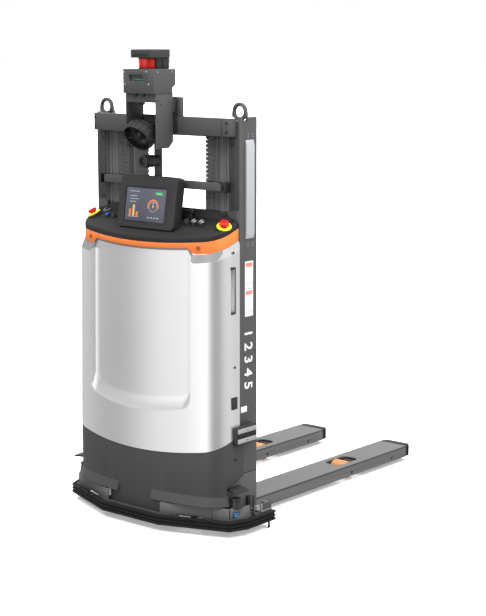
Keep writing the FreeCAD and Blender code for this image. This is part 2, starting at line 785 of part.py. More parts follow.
def front_cover():
    low, high = "seam_z - 130", "trim_z + 10"

    def leaning(name, extra, margin="0"):
        bottom, top = f"{low} - {margin}", f"{high} + {margin}"
        return tapered(name, cover_inset(extra, bottom), cover_inset(extra, top), bottom, top)

    shoulder = "-tab_height"
    skin = common("CoverSkin", leaning("CoverOuter", "0"),
                  below_slope("CoverShoulder", "trim_z", "trim_slope", shoulder, "bumper_gap"))
    skin = softened("CoverBevel", skin, "trim_inset - body_taper", bevelled_rim, "Part::Chamfer", "pillar_bevel")
    scoop = [("-panel_x", "trim_z"), ("panel_x", "trim_z"), ("panel_x", "scoop_z + scoop_corner"),
             ("panel_x - scoop_corner", "scoop_z"), ("-panel_x + scoop_corner", "scoop_z"),
             ("-panel_x", "scoop_z + scoop_corner")]
    panel = prism("PanelRoom", "y", scoop, f"{FRONT}", "body_front_y + body_corner_radius")
    skin = cut("CoverPanel", skin, panel)
    core = common("CoverCore", leaning("CoverNeck", "panel_depth"),
                  below_slope("CoverRim", "trim_z", "trim_slope", "-trim_height", "bumper_gap"))
    ramp = tapered("ScoopRamp", cover_inset("0", "scoop_z"), cover_inset("panel_depth", "scoop_z + scoop_rise"),
                   "scoop_z", "scoop_z + scoop_rise")
    shell = fuse("CoverSolid", skin, core, ramp)
    sides = common("SideHollow", leaning("SideHollowForm", "cover_wall", "20"),
                   below_slope("SideHollowTop", "trim_z", "trim_slope", "-tab_height - cover_wall", "bumper_gap"))
    middle = block("MiddleRoom", ("-panel_x - cover_wall", "panel_x + cover_wall"), (FRONT, "column_front_y - 1"),
                   ("scoop_z - cover_wall", "trim_z + 60"))
    shell = cut("CoverShell", shell, cut("SideHollowEnds", sides, middle),
                leaning("MiddleHollow", "panel_depth + cover_wall", "20"))
    above_seam = prism("AboveSeam", "x", [(f"{FRONT} - 20", sloped("seam_z", "seam_slope", f"{FRONT} - 20")),
                                          ("0", sloped("seam_z", "seam_slope", "0")), ("0", "trim_z + 200"),
                                          (f"{FRONT} - 20", "trim_z + 200")], f"-{HALF}", HALF)
    shell = common("CoverAboveSeam", shell, above_seam)
    rooms = [block(f"HandleRoom{side}", (low_x, high_x), ("handle_y - handle_width / 2", "handle_y + handle_width / 2"),
                   ("handle_z", "handle_z + handle_height"))
             for side, low_x, high_x in (("Right", "body_half_width - 120", HALF),
                                         ("Left", f"-{HALF}", "-body_half_width + 120"))]
    node("front_cover", cut("FrontCover", shell, *rooms))


def bevelled_rim(edge):
    """The outer edge of the cover's sloping top, front and sides."""
    box = edge.BoundBox
    return box.ZMin > value("trim_z - tab_height - 200") and box.YMin < value(BODY_BACK) - 1 and not upright(edge) \
        and abs(edge.CenterOfMass.z - value(sloped("trim_z", "trim_slope", edge.CenterOfMass.y, "-tab_height"))) < 2


def trim_band():
    plane = ("trim_z", "trim_slope")
    band = cut("BandRing", column_of("BandOuter", "trim_inset", "trim_z - 260", "trim_z + 60"),
               column_of("BandInner", "trim_inset + trim_wall", "trim_z - 261", "trim_z + 61", f"{BODY_BACK} + 1"))
    band = common("BandTop", band, below_slope("BandLimit", *plane, "0", "bumper_gap"))
    thin = below_slope("BandThin", *plane, "-trim_height", "bumper_gap")
    deep = below_slope("BandDeep", *plane, "-tab_height", "bumper_gap")
    middle = [("-tab_x - tab_ramp", sloped("0", "1", "column_front_y", "bumper_gap")), ("tab_x + tab_ramp", "bumper_gap"),
              ("tab_x", "trim_z"), ("-tab_x", "trim_z")]
    middle = prism("BandMiddle", "y", middle, f"{FRONT}", "body_front_y + body_corner_radius")
    band = cut("BandCut", cut("BandTabs", band, deep), common("BandMiddleCut", middle, thin))
    node("trim_band", band)


# Console
def console_cap():
    inset = "trim_inset"
    slab = column_of("CapSlab", inset, "trim_z - 140", "trim_z + 120", "column_front_y + 80")
    slab = cut("CapAbove", slab, below_slope("CapUnder", "trim_z", "trim_slope", "0", "bumper_gap"))
    cap = common("CapTop", slab, below_slope("CapPlane", "cap_back_z", "cap_slope", "0", "bumper_gap"))
    cap = softened("CapRound", cap, "cap_round", cap_rim)
    cap = cut("CapBack", cap, block("BehindCap", (f"-{HALF}", HALF), (CAP_BACK, "0"), ("bumper_gap", "cap_lip_z + 100")))
    lip_end = "(body_half_width - trim_inset - 8)"
    right = [("cap_lip_x", "cap_lip_z"), ("cap_lip_shoulder_x", "cap_lip_z - cap_lip_shoulder"),
             (lip_end, "cap_lip_end_z"), (lip_end, "trim_z - 10")]
    lip_top = right + [(f"-({across})", up) for across, up in reversed(right)]
    lip = prism("CapLip", "y", lip_top, f"{CAP_BACK} - cap_lip_thickness", CAP_BACK)
    lip = cut("CapLipAbove", lip, below_slope("LipUnder", "trim_z", "trim_slope", "0", "bumper_gap"))
    bosses = [disc(f"StopBoss{side}", "stop_ring_radius + 3", "stop_boss_depth",
                   *stop_place(sign, "-stop_boss_depth"), stop_axis(sign))
              for side, sign in (("Right", 1), ("Left", -1))]
    trimmed = [cut(f"Boss{number}", boss, below_slope(f"BossUnder{number}", "trim_z", "trim_slope", "0", "bumper_gap"))
               for number, boss in enumerate(bosses)]
    trimmed = [common(f"BossIn{number}", boss, column_of(f"BossRoom{number}", "trim_inset", "trim_z - 140",
                                                         "trim_z + 120", CAP_BACK))
               for number, boss in enumerate(trimmed)]
    rooms = [disc(f"StopRoom{side}", "stop_ring_radius + 3.5", "40", *stop_place(sign, "0"), stop_axis(sign))
             for side, sign in (("Right", 1), ("Left", -1))]
    rooms += [disc(f"StopWell{side}", "stop_stem_radius + running_gap", "2 * stop_travel",
                   *stop_place(sign, "1 - 2 * stop_travel"), stop_axis(sign))
              for side, sign in (("Right", 1), ("Left", -1))]
    node("console_cap", cut("ConsoleCap", fuse("ConsoleWhole", cap, lip, *trimmed), *rooms))


def cap_rim(edge):
    """The front and side edge of the console's sloping top."""
    box = edge.BoundBox
    if box.YMin > value(CAP_BACK) + 70 or upright(edge):
        return False
    middle = edge.CenterOfMass
    floor = value(sloped("trim_z", "trim_slope", str(middle.y)))
    return middle.z > floor + 5


def stop_axis(sign):
    side, front = value("stop_lean_side"), value("stop_lean_front")
    return (sign * side, -front, math.sqrt(1 - side ** 2 - front ** 2))


def stop_place(sign, along):
    """A place on a stop button's axis, measured from the top of its boss."""
    lift = "sqrt(1 - stop_lean_side ^ 2 - stop_lean_front ^ 2)"
    return (f"{sign} * (stop_x + ({along}) * stop_lean_side)", f"stop_y - ({along}) * stop_lean_front",
            f"stop_z + ({along}) * {lift}")


def cap_height(y):
    """Height of the console's sloping top."""
    return sloped("cap_back_z", "cap_slope", y)


def control_axis():
    slope = value("cap_slope")
    return (0, -slope / math.sqrt(1 + slope ** 2), 1 / math.sqrt(1 + slope ** 2))


def control_place(x, along):
    """A place on the axis of a console control, measured from the console's surface."""
    length = "sqrt(1 + cap_slope ^ 2)"
    return (x, f"control_y - ({along}) * cap_slope / {length}",
            f"{cap_height('control_y')} + ({along}) / {length}")


def controls():
    rings = []
    for side, sign in (("Right", 1), ("Left", -1)):
        ring = taper(f"StopRing{side}", ("stop_ring_radius", "stop_ring_radius - 4"), "stop_ring_height",
                     *stop_place(sign, "0"), stop_axis(sign))
        rings.append(cut(f"StopCollar{side}", ring, disc(f"StopBore{side}", "stop_stem_radius + running_gap", "40",
                                                         *stop_place(sign, "-20"), stop_axis(sign))))
    bezels = []
    places = {"Key": "key_x", "SelectorInner": "selector_inner_x", "SelectorOuter": "selector_outer_x",
              "Reset": "-reset_x", "Lamp": "-lamp_button_x"}
    for name, x in places.items():
        bezels.append(taper(f"Bezel{name}", ("bezel_radius", "bezel_radius - 2"), "bezel_height",
                            *control_place(x, "0"), control_axis()))
    well = disc("ResetWell", "knob_radius - 1", "40", *control_place("-reset_x", "-1"), control_axis())
    node("control_bezels", cut("ControlBezels", fuse("AllBezels", *bezels), well))
    node("stop_collars", fuse("StopCollars", *rings))
    for name, sign in (("stop_button_right", 1), ("stop_button_left", -1)):
        stem = disc(name + "Stem", "stop_stem_radius", "stop_ring_height + stop_travel + 1",
                    *stop_place(sign, "running_gap"), stop_axis(sign))
        head = disc(name + "Head", "stop_head_radius", "stop_head_height",
                    *stop_place(sign, "stop_ring_height + stop_travel + running_gap"), stop_axis(sign))
        head = softened(name + "Round", head, "4", lambda edge: edge.Curve.TypeId == "Part::GeomCircle")
        node(name, fuse(name + "Whole", stem, head))
    node("reset_button", disc("ResetButton", "knob_radius - 1 - running_gap", "bezel_height",
                              *control_place("-reset_x", "running_gap + button_travel"), control_axis()))
    for name, x in (("selector_inner", "selector_inner_x"), ("selector_outer", "selector_outer_x"),
                    ("key_switch", "key_x")):
        knob_start = "bezel_height + running_gap"
        drum = disc(name + "Drum", "knob_radius", "knob_height * 0.5", *control_place(x, knob_start), control_axis())
        grip = block(name + "Grip", ("-knob_radius * 0.32", "knob_radius * 0.32"), ("-knob_radius * 0.94",
                     "knob_radius * 0.94"), ("knob_height * 0.4", "knob_height"))
        grip = move(turned(grip, control_axis()), *grip_corner(x, knob_start))
        node(name, fuse(name + "Whole", drum, grip))


def grip_corner(x, start):
    """Corner of a knob's finger bar, so that the bar is centred on the knob's axis."""
    length = "sqrt(1 + cap_slope ^ 2)"
    along, back = f"({start}) + knob_height * 0.4", "knob_radius * 0.94"
    middle = control_place(x, along)
    return (f"{x} - knob_radius * 0.32", f"{middle[1]} - {back} / {length}", f"{middle[2]} - {back} * cap_slope / {length}")


def touch_screen():
    lean = FreeCAD.Rotation(X_AXIS, -value("screen_lean"))

    def leaning(piece, x, forward, up):
        piece.Placement = FreeCAD.Placement(FreeCAD.Vector(), lean)
        return move(piece, x, f"screen_y + ({forward}) * cos(screen_lean) + ({up}) * sin(screen_lean)",
                    f"screen_z - ({forward}) * sin(screen_lean) + ({up}) * cos(screen_lean)")

    def slab(name, width, depth, height, x, forward, up):
        piece = bind(doc.addObject("Part::Box", name), Length=width, Width=depth, Height=height)
        return leaning(piece, x, forward, up)

    case = slab("ScreenCase", "screen_width", "screen_depth", "screen_height", "-screen_width / 2", "0", "0")
    doc.recompute()
    across = lean.multVec(Y_AXIS)
    case = softened("ScreenCorners", case, "screen_corner",
                    lambda edge: abs(edge.tangentAt(edge.FirstParameter).dot(across)) > 0.999)
    pocket = slab("GlassPocket", "glass_width", "glass_thickness + 2", "glass_height",
                  "-glass_width / 2 - glass_shift_x", "-1", "glass_bottom")
    case = cut("ScreenHousing", case, pocket)
    node("screen_glass", slab("ScreenGlass", "glass_width", "glass_thickness", "glass_height",
                              "-glass_width / 2 - glass_shift_x", "1", "glass_bottom"))
    neck_y = "(screen_y + screen_depth * cos(screen_lean) + 40 * sin(screen_lean))"
    low = f"{cap_height('screen_y + 60')} - 6"
    points = [(f"{neck_y} - 2", low), (f"{neck_y} + screen_foot_depth", low),
              (f"{neck_y} + screen_foot_depth", "screen_z + 60"), (f"{neck_y} + 30", "screen_z + 150"),
              (f"{neck_y} + 12", "screen_z + 150")]
    neck = prism("ScreenNeck", "x", points, "-screen_foot_width / 2", "screen_foot_width / 2")
    behind = slab("ScreenShade", "screen_width", "200", "screen_height * 3", "-screen_width / 2", "screen_depth - 200",
                  "-screen_height")
    neck = cut("ScreenNeckBack", neck, behind)
    node("screen_case", cut("ScreenCase", fuse("ScreenWhole", case, neck), cap_volume("ScreenSeat")))


def cap_volume(name):
    """Space below the console's top surface along the middle plane."""
    front, back = CAP_FRONT, CAP_BACK
    points = [(front, "0"), (back, "0"), (back, cap_height(back)), (front, cap_height(front))]
    return prism(name, "x", points, "-screen_width", "screen_width")


# Navigation tower
def tower():
    side_points = [("tower_front_y", "tower_z"), ("tower_back_y - tower_corner", "tower_z"),
                   ("tower_back_y", "tower_z + tower_corner"), ("tower_back_y", "box_z"), ("tower_front_y", "box_z")]
    sides = [prism(f"TowerSide{side}", "x", side_points, low, high)
             for side, low, high in (("Right", "tower_x - tower_plate", "tower_x"),
                                     ("Left", "-tower_x", "-tower_x + tower_plate"))]
    back = block("TowerBack", ("-tower_x", "tower_x"), ("tower_back_y - tower_plate", "tower_back_y"),
                 ("tower_z + tower_corner", "tower_back_top_z"))
    shelf = block("TowerShelf", ("-tower_x", "tower_x"), ("tower_front_y", "tower_back_y"),
                  ("box_z - 36", "box_z"))
    tie = block("TowerTie", ("-post_x - 30", "post_x + 30"), ("tower_back_y - tower_plate", BEAM_FRONT),
                ("beam_z + 6", "beam_z + beam_height - 8"))
    post = cut("TowerPost", block("PostForm", ("-post_x", "post_x"), (POST_FRONT, BEAM_FRONT),
                                  ("post_foot_z", "tower_back_top_z")), cap_volume("PostSeat"))
    bracket = block("BracketPlate", ("bracket_inner_x", "bracket_outer_x"), (BEAM_FRONT, f"{BEAM_FRONT} + 20"),
                    ("beam_z + beam_height", "bracket_top_z"))
    hollow = block("BracketHollow", ("bracket_inner_x + 5", "bracket_outer_x - 20"), (f"{BEAM_FRONT} - 1",
                   f"{BEAM_FRONT} + 15"), ("beam_z + beam_height - 1", "bracket_top_z + 1"))
    strut = block("BracketStrut", ("tower_x - tower_plate", "bracket_inner_x + 50"),
                  ("tower_back_y - tower_plate", f"{BEAM_FRONT} + 4"), ("bracket_top_z - 60", "bracket_top_z - 10"))
    node("tower_frame", fuse("TowerFrame", *sides, back, shelf, tie, post, cut("Bracket", bracket, hollow), strut))
    profile = [("box_front_y", "box_z"), ("box_back_y - box_step", "box_z"),
               ("box_back_y - box_step", "box_z + box_step_height - 10"), ("box_back_y", "box_z + box_step_height"),
               ("box_back_y", TOWER_TOP), ("box_front_y", TOWER_TOP)]
    box = prism("TowerBoxForm", "x", profile, "-tower_x - 2", "tower_x + 2")
    slot = block("TowerSlot", ("-slot_width / 2 - 14", "slot_width / 2 - 14"), ("box_front_y - 1", "box_front_y + 12"),
                 ("slot_z", "slot_z + slot_height"))
    node("tower_box", cut("TowerBox", box, slot))


def lidar():
    roof_z = "(overall_height - roof_height)"
    node("lidar_window", disc("LidarWindow", "window_radius", f"{roof_z} - ({TOWER_TOP})", "0", "lidar_y", TOWER_TOP))
    body = block("LidarBlock", ("-lidar_body_x", "lidar_body_x"), ("lidar_y", "roof_back_y + 4"), (TOWER_TOP, roof_z))
    fins = [block(f"FinGap{number}", (f"-lidar_body_x - 1", "lidar_body_x + 1"),
                  (f"roof_back_y - {number} * fin_pitch", f"roof_back_y - {number} * fin_pitch + fin_gap"),
                  (f"{TOWER_TOP} + 4", f"{roof_z} - 4")) for number in range(1, 4)]
    sides = [common(f"FinSide{side}", fuse(f"Fins{side}", *[copy_of(fin, f"{fin.Name}{side}") for fin in fins]),
                    block(f"FinReach{side}", (low, high), ("lidar_y", "roof_back_y + 10"), (TOWER_TOP, roof_z)))
             for side, low, high in (("Right", "lidar_body_x - 10", "lidar_body_x + 2"),
                                     ("Left", "-lidar_body_x - 2", "-lidar_body_x + 10"))]
    room = disc("LidarRoom", "window_radius", "overall_height", "0", "lidar_y", "box_z")
    node("lidar_body", cut("LidarBody", body, room, *sides))
    roof = block("RoofForm", ("-roof_x", "roof_x"), ("roof_front_y", "roof_back_y"), (roof_z, "overall_height"))
    notch = block("RoofNotch", ("-roof_x + 14", "roof_x - 24"), ("roof_front_y - 1", "roof_front_y + roof_wall"),
                  (f"{roof_z} - 1", f"{roof_z} + 13"))
    top = value("overall_height")
    roof = softened("RoofEdge", roof, "4", level_at(top))
    node("lidar_roof", cut("LidarRoof", roof, notch))


def copy_of(piece, name):
    """A second box of the same size and place as the first."""
    twin = doc.addObject("Part::Box", name)
    for prop, text in piece.ExpressionEngine:
        twin.setExpression(prop, text)
    return twin


def warning_lamp():
    lean = math.radians(value("horn_lean"))
    inward = (0, math.cos(lean), math.sin(lean))
    depth = value("horn_depth")

    def along(distance):
        return ("0", f"horn_y + ({distance}) * cos(horn_lean)", f"horn_z + ({distance}) * sin(horn_lean)")

    rim = disc("HornRim", "horn_radius", "horn_depth * 0.22", *along("0"), inward)
    middle = taper("HornMiddle", ("horn_radius", "horn_radius * 0.78"), "horn_depth * 0.42",
                   *along("horn_depth * 0.22"), inward)
    back = taper("HornBack", ("horn_radius * 0.78", "horn_radius * 0.3"), "horn_depth * 0.36",
                 *along("horn_depth * 0.64"), inward)
    bowl = disc("HornBowl", "horn_radius - 8", "horn_depth * 0.2", *along("-2"), inward)
    arm = block("HornArm", ("-9", "9"), ("horn_y + horn_depth * cos(horn_lean) - 6", POST_FRONT),
                ("horn_z + horn_depth * sin(horn_lean) - 22", "horn_z + horn_depth * sin(horn_lean) - 4"))
    node("warning_lamp", cut("WarningLamp", fuse("HornSolid", rim, middle, back, arm), bowl))


def camera():
    back = POST_FRONT
    tube = disc("CameraTube", "camera_radius", "camera_length", "0", f"{back} - camera_length", "camera_z", (0, 1, 0))
    bore = disc("CameraBore", "camera_radius - 6", "10", "0", f"{back} - camera_length - 1", "camera_z", (0, 1, 0))
    node("camera_body", cut("CameraBody", tube, bore))


# Behind the console
def cross_bar():
    flange = "column_front_y"
    ends = [block(f"BarEnd{side}", (low, high), (f"{flange} - bar_setback - bar_thickness", f"{flange} - bar_setback"),
                  ("bar_z", "bar_z + bar_height"))
            for side, low, high in (("Right", "bar_clip_x", "bar_half_length"),
                                    ("Left", "-bar_half_length", "-bar_clip_x"))]
    feet = [block(f"BarFoot{side}", (low, high), (f"{flange} - bar_setback - 1", flange),
                  ("bar_z + 2", "bar_z + bar_height - 2"))
            for side, low, high in (("Right", "column_x - column_flange + 2", "bar_half_length"),
                                    ("Left", "-bar_half_length", "-column_x + column_flange - 2"))]
    middle = block("BarMiddle", ("-bar_clip_x - 10", "bar_clip_x + 10"),
                   (f"{flange} - bar_setback - 1", f"{flange} - bar_setback + 11"),
                   ("bar_z + 3", "bar_z + bar_height - 3"))
    node("cross_bar", fuse("CrossBar", *ends, *feet, middle))
    guard_front = f"{flange} - guard_thickness"
    guard = block("Guard", ("-column_x + column_flange - 14", "column_x - column_flange + 14"), (guard_front, flange),
                  ("cap_lip_z + running_gap", "beam_z - running_gap"))
    node("guard_panel", cut("GuardPanel", guard,
                            block("GuardNotch", ("-bar_half_length", "bar_half_length"),
                                  (f"{guard_front} - 20", f"{flange} + 1"), ("bar_z - 1", "bar_z + bar_height + 1"))))


# Charging contacts on the right-hand upright
def charging():
    front, back = "charge_front_y", "charge_front_y + charge_length"
    out = "column_x + charge_reach"
    form = block("ChargeForm", ("column_x", out), ("column_front_y", back), ("charge_z", "charge_z + charge_height"))
    nose = block("ChargeNose", ("body_half_width + 1", out), (front, "column_front_y + 1"),
                 ("charge_z", "charge_z + charge_height"))
    whole = fuse("ChargeWhole", form, nose)
    edge = value(out)
    whole = softened("ChargeRound", whole, "3", lambda side: side.BoundBox.XMin > edge - 0.01)
    groove = block("ChargeGroove", (f"{out} - 5", f"{out} + 1"), (f"{front} + 4", f"{back} + 1"),
                   ("charge_z + contact_height + 10", "charge_z + charge_height - contact_height - 10"))
    rooms = []
    for name, low in (("Low", "charge_z + 7"), ("High", "charge_z + charge_height - contact_height - 7")):
        place = ((f"{out} - contact_plate", f"{out}"), (f"{front} + 6", f"{back} - 6"), (low, f"{low} + contact_height"))
        rooms.append(block(f"ContactRoom{name}", (place[0][0], f"{out} + 1"), *place[1:]))
    node("charge_housing", cut("ChargeHousing", whole, groove, *rooms))
    strips = [block(f"Contact{name}", (f"{out} - contact_plate", out), (f"{front} + 6", f"{back} - 6"),
                    (low, f"{low} + contact_height"))
              for name, low in (("Low", "charge_z + 7"), ("High", "charge_z + charge_height - contact_height - 7"))]
    holes = [disc(f"ContactHole{number}", "3", "contact_plate + 2", f"{out} - contact_plate - 1",
                  f"({front} + {back}) / 2", f"{low} + contact_height / 2", (1, 0, 0))
             for number, low in enumerate(("charge_z + 7", "charge_z + charge_height - contact_height - 7"))]
    node("charge_contacts", cut("ChargeContacts", fuse("ContactPair", *strips), *holes))


def handle_cups():
    wall = "handle_wall"
    level = cover_inset("0", "handle_z + handle_height / 2")
    outer_x = f"(body_half_width - ({level}) - 3)"
    cup = block("HandleCup", (f"{outer_x} - handle_depth", outer_x),
                ("handle_y - handle_width / 2", "handle_y + handle_width / 2"), ("handle_z", "handle_z + handle_height"))
    hollow = block("HandleHollow", (f"{outer_x} - handle_depth + {wall}", f"{outer_x} + 1"),
                   (f"handle_y - handle_width / 2 + {wall}", f"handle_y + handle_width / 2 - {wall}"),
                   (f"handle_z + {wall}", f"handle_z + handle_height - {wall}"))
    node("handle_cups", pair("HandleCups", cut("HandleCupRight", cup, hollow)))


# Sensors at the front corners
def sensors():
    ring = cut("FasciaRing", base_solid("FasciaOuter", "fascia_inset", BUMPER_TOP, f"{BUMPER_TOP} + fascia_height"),
               base_solid("FasciaInner", "fascia_inset + fascia_wall", f"{BUMPER_TOP} - 1",
                          f"{BUMPER_TOP} + fascia_height + 1", f"{BASE_BACK} + 1"))
    window = block("FasciaWindow", (f"bumper_corner_x - fascia_inset - 2", f"{HALF}"),
                   (f"{BUMPER_CORNER_Y} + 26", f"{BUMPER_SIDE_Y} - 4"),
                   (f"{BUMPER_TOP} + 18", f"{BUMPER_TOP} + 18 + fascia_slot_height"))
    reach = block("FasciaReach", ("nose_block_x + 1", HALF), (FRONT, "column_front_y - 8"),
                  (BUMPER_TOP, f"{BUMPER_TOP} + fascia_height"))
    fascia = cut("FasciaRight", common("FasciaSide", ring, reach), window)
    node("sensor_fascias", pair("SensorFascias", fascia))
    top = f"({BUMPER_TOP} + fascia_height)"
    base = disc("ScannerBase", "scanner_radius", f"{top} - {BUMPER_TOP}", "scanner_x", "scanner_y", BUMPER_TOP)
    head = taper("ScannerHead", ("scanner_head_radius", "scanner_head_radius - 3"), "scanner_head_height",
                 "scanner_head_x", "scanner_y", top)
    aerial = disc("Aerial", "aerial_radius", "aerial_height", "aerial_x", "aerial_y", BUMPER_TOP)
    node("corner_scanners", pair("CornerScanners", fuse("ScannerRight", base, head, aerial)))
    toe = "column_front_y - foot_toe"
    points = [("column_x", f"{toe} + 12"), ("column_x + hood_reach - 10", f"{toe} - 18"),
              ("column_x + hood_reach", f"{toe} - 18 + hood_length"), ("column_x", f"{toe} + 12 + hood_length")]
    hood = prism("HoodRight", "z", points, "hood_z", "hood_z + hood_plate")
    node("scanner_hoods", pair("ScannerHoods", hood))


# Mast, lift and forks
def lift():
    top = "rail_top_z"
    crosshead = block("Crosshead", ("-inner_rail_x + rail_plate", "inner_rail_x - rail_plate"),
                      ("cylinder_y - crosshead_depth / 2", "cylinder_y + crosshead_depth / 2"),
                      (f"{top} - crosshead_height", top))
    hangers = [block(f"SheaveHanger{number}", (f"{sign}(chain_x + {near})", f"{sign}(chain_x + {far})"),
                     ("cylinder_y - 12", "cylinder_y + 12"), (f"sheave_z - 14", f"{top} - crosshead_height"))
               for number, (sign, near, far) in enumerate((("", "sheave_width / 2 + 1", "sheave_width / 2 + 7"),
                                                           ("-", "sheave_width / 2 + 7", "sheave_width / 2 + 1")))]
    axles = [disc(f"SheaveAxle{number}", "sheave_axle_radius", "sheave_width + 10", low, "cylinder_y", "sheave_z",
                  (1, 0, 0))
             for number, low in enumerate(("chain_x - sheave_width / 2 - 3", "-chain_x - sheave_width / 2 - 7"))]
    node("mast_crosshead", fuse("MastCrosshead", crosshead, *hangers, *axles))
    sheave = disc("SheaveRight", "sheave_radius", "sheave_width", "chain_x - sheave_width / 2", "cylinder_y",
                  "sheave_z", (1, 0, 0))
    bore = disc("SheaveBore", "sheave_axle_radius + roller_bore_gap", "sheave_width + 2",
                "chain_x - sheave_width / 2 - 1", "cylinder_y", "sheave_z", (1, 0, 0))
    node("chain_sheaves", pair("ChainSheaves", cut("Sheave", sheave, bore)))
    barrel = cut("BarrelRight", disc("BarrelForm", "cylinder_radius", f"cylinder_top_z - {BUMPER_TOP}", "cylinder_x",
                                     "cylinder_y", BUMPER_TOP),
                 disc("BarrelBore", "cylinder_bore", "cylinder_top_z", "cylinder_x", "cylinder_y",
                      f"{BUMPER_TOP} + 12"))
    front_y, back_y = "cylinder_y - sheave_radius - chain_thickness", "cylinder_y + sheave_radius"
    anchor = block("ChainAnchor", ("cylinder_x", "chain_x + chain_width / 2"),
                   (f"{front_y} - running_gap", "cylinder_y"), ("chain_anchor_z - 40", "chain_anchor_z"))
    anchor = cut("AnchorArm", anchor, disc("AnchorRoom", "cylinder_radius - 1", "60", "cylinder_x", "cylinder_y",
                                           "chain_anchor_z - 50"))
    node("lift_cylinders", pair("LiftCylinders", fuse("CylinderRight", barrel, anchor)))
    rod = disc("RodRight", "rod_radius", f"{top} - crosshead_height - rod_bottom_z", "cylinder_x", "cylinder_y",
               "rod_bottom_z")
    node("piston_rods", pair("PistonRods", rod))
    chain_span = ("chain_x - chain_width / 2", "chain_x + chain_width / 2")
    front = block("ChainFront", chain_span, (f"{front_y} - running_gap", f"{front_y} + chain_thickness - running_gap"),
                  ("chain_anchor_z", "sheave_z"))
    node("chain_fixed_run", pair("ChainFixedRun", front))
    rear = block("ChainRear", chain_span, (f"{back_y} + running_gap", f"{back_y} + chain_thickness + running_gap"),
                 ("rail_bottom_z + carriage_height", "sheave_z"))
    node("chain_lifting_run", pair("ChainLiftingRun", rear))


def carriage():
    low, high = "rail_bottom_z", "rail_bottom_z + carriage_height"
    cheek = block("CarriageCheek", ("carriage_x - carriage_plate", "carriage_x"),
                  ("rail_front_y + rail_plate + running_gap", "heel_y - carriage_bar"), (low, high))
    pads = [block(f"CarriagePad{number}", ("carriage_x - 1", "inner_rail_x - rail_plate - running_gap"),
                  ("rail_front_y + rail_plate + running_gap", f"{RAIL_BACK} - rail_plate - running_gap"),
                  (start, f"{start} + pad_length"))
            for number, start in enumerate((f"{low} + 20", f"{high} - pad_length - 20"))]
    lug = block("ChainLug", ("chain_x - chain_width / 2", "carriage_x"),
                ("cylinder_y + sheave_radius + running_gap", "heel_y - carriage_bar"), (f"{high} - 30", high))
    right = fuse("CarriageRight", cheek, *pads, lug)
    bars = [block(f"CarriageBar{number}", ("-fork_outer_x", "fork_outer_x"), ("heel_y - carriage_bar", "heel_y"),
                  (start, f"{start} + carriage_bar_height"))
            for number, start in enumerate((low, f"{high} - carriage_bar_height"))]
    node("carriage_frame", fuse("CarriageFrame", right, mirror("CarriageLeft", right), *bars))
    fork_inner = "(fork_outer_x - fork_width)"
    channel_form = prism("ForkForm", "y", [
        (fork_inner, "fork_skirt_z"), (fork_inner, "fork_top_z"), ("fork_outer_x", "fork_top_z"),
        ("fork_outer_x", "fork_skirt_z"), ("fork_outer_x - fork_plate", "fork_skirt_z"),
        ("fork_outer_x - fork_plate", "fork_top_z - fork_plate"),
        (f"{fork_inner} + fork_plate", "fork_top_z - fork_plate"), (f"{fork_inner} + fork_plate", "fork_skirt_z")],
        "heel_y", "fork_end_y")
    window = block("ForkWindow", (f"{FORK_MIDDLE} - window_width / 2", f"{FORK_MIDDLE} + window_width / 2"),
                   ("window_y - window_length / 2", "window_y + window_length / 2"),
                   ("fork_top_z - fork_plate - 2", "fork_top_z + 2"))
    window = softened("ForkWindowRound", window, "window_corner", upright)
    holes = [disc(f"ForkHole{number}", "5", "fork_width + 4", f"{fork_inner} - 2", place, "fork_skirt_z + 12", (1, 0, 0))
             for number, place in enumerate(("window_y - 20", "window_y + 302"))]
    heel = block("ForkHeel", (fork_inner, "fork_outer_x"), ("heel_y", "heel_y + heel_thickness"),
                 ("fork_skirt_z", "fork_top_z + heel_height"))
    heel_room = block("HeelRoom", (f"{fork_inner} + fork_plate", "fork_outer_x - fork_plate"),
                      ("heel_y - 1", "heel_y + heel_thickness + 1"), ("fork_skirt_z - 1", "fork_top_z - fork_plate"))
    fork = cut("ForkRightForm", fuse("ForkSolid", channel_form, heel), window, heel_room, *holes)
    node("fork_right", fork)
    node("fork_left", mirror("ForkLeft", fork))
    nose_points = [(fork_inner, "fork_end_y"), ("fork_outer_x", "fork_end_y"),
                   ("fork_outer_x", f"{TIP} - fork_nose_corner"), ("fork_outer_x - fork_nose_corner", TIP),
                   (f"{fork_inner} + fork_nose_corner", TIP), (fork_inner, f"{TIP} - fork_nose_corner")]
    nose = prism("NoseRight", "z", nose_points, "fork_skirt_z", "fork_top_z")
    node("fork_noses", pair("ForkNoses", nose))


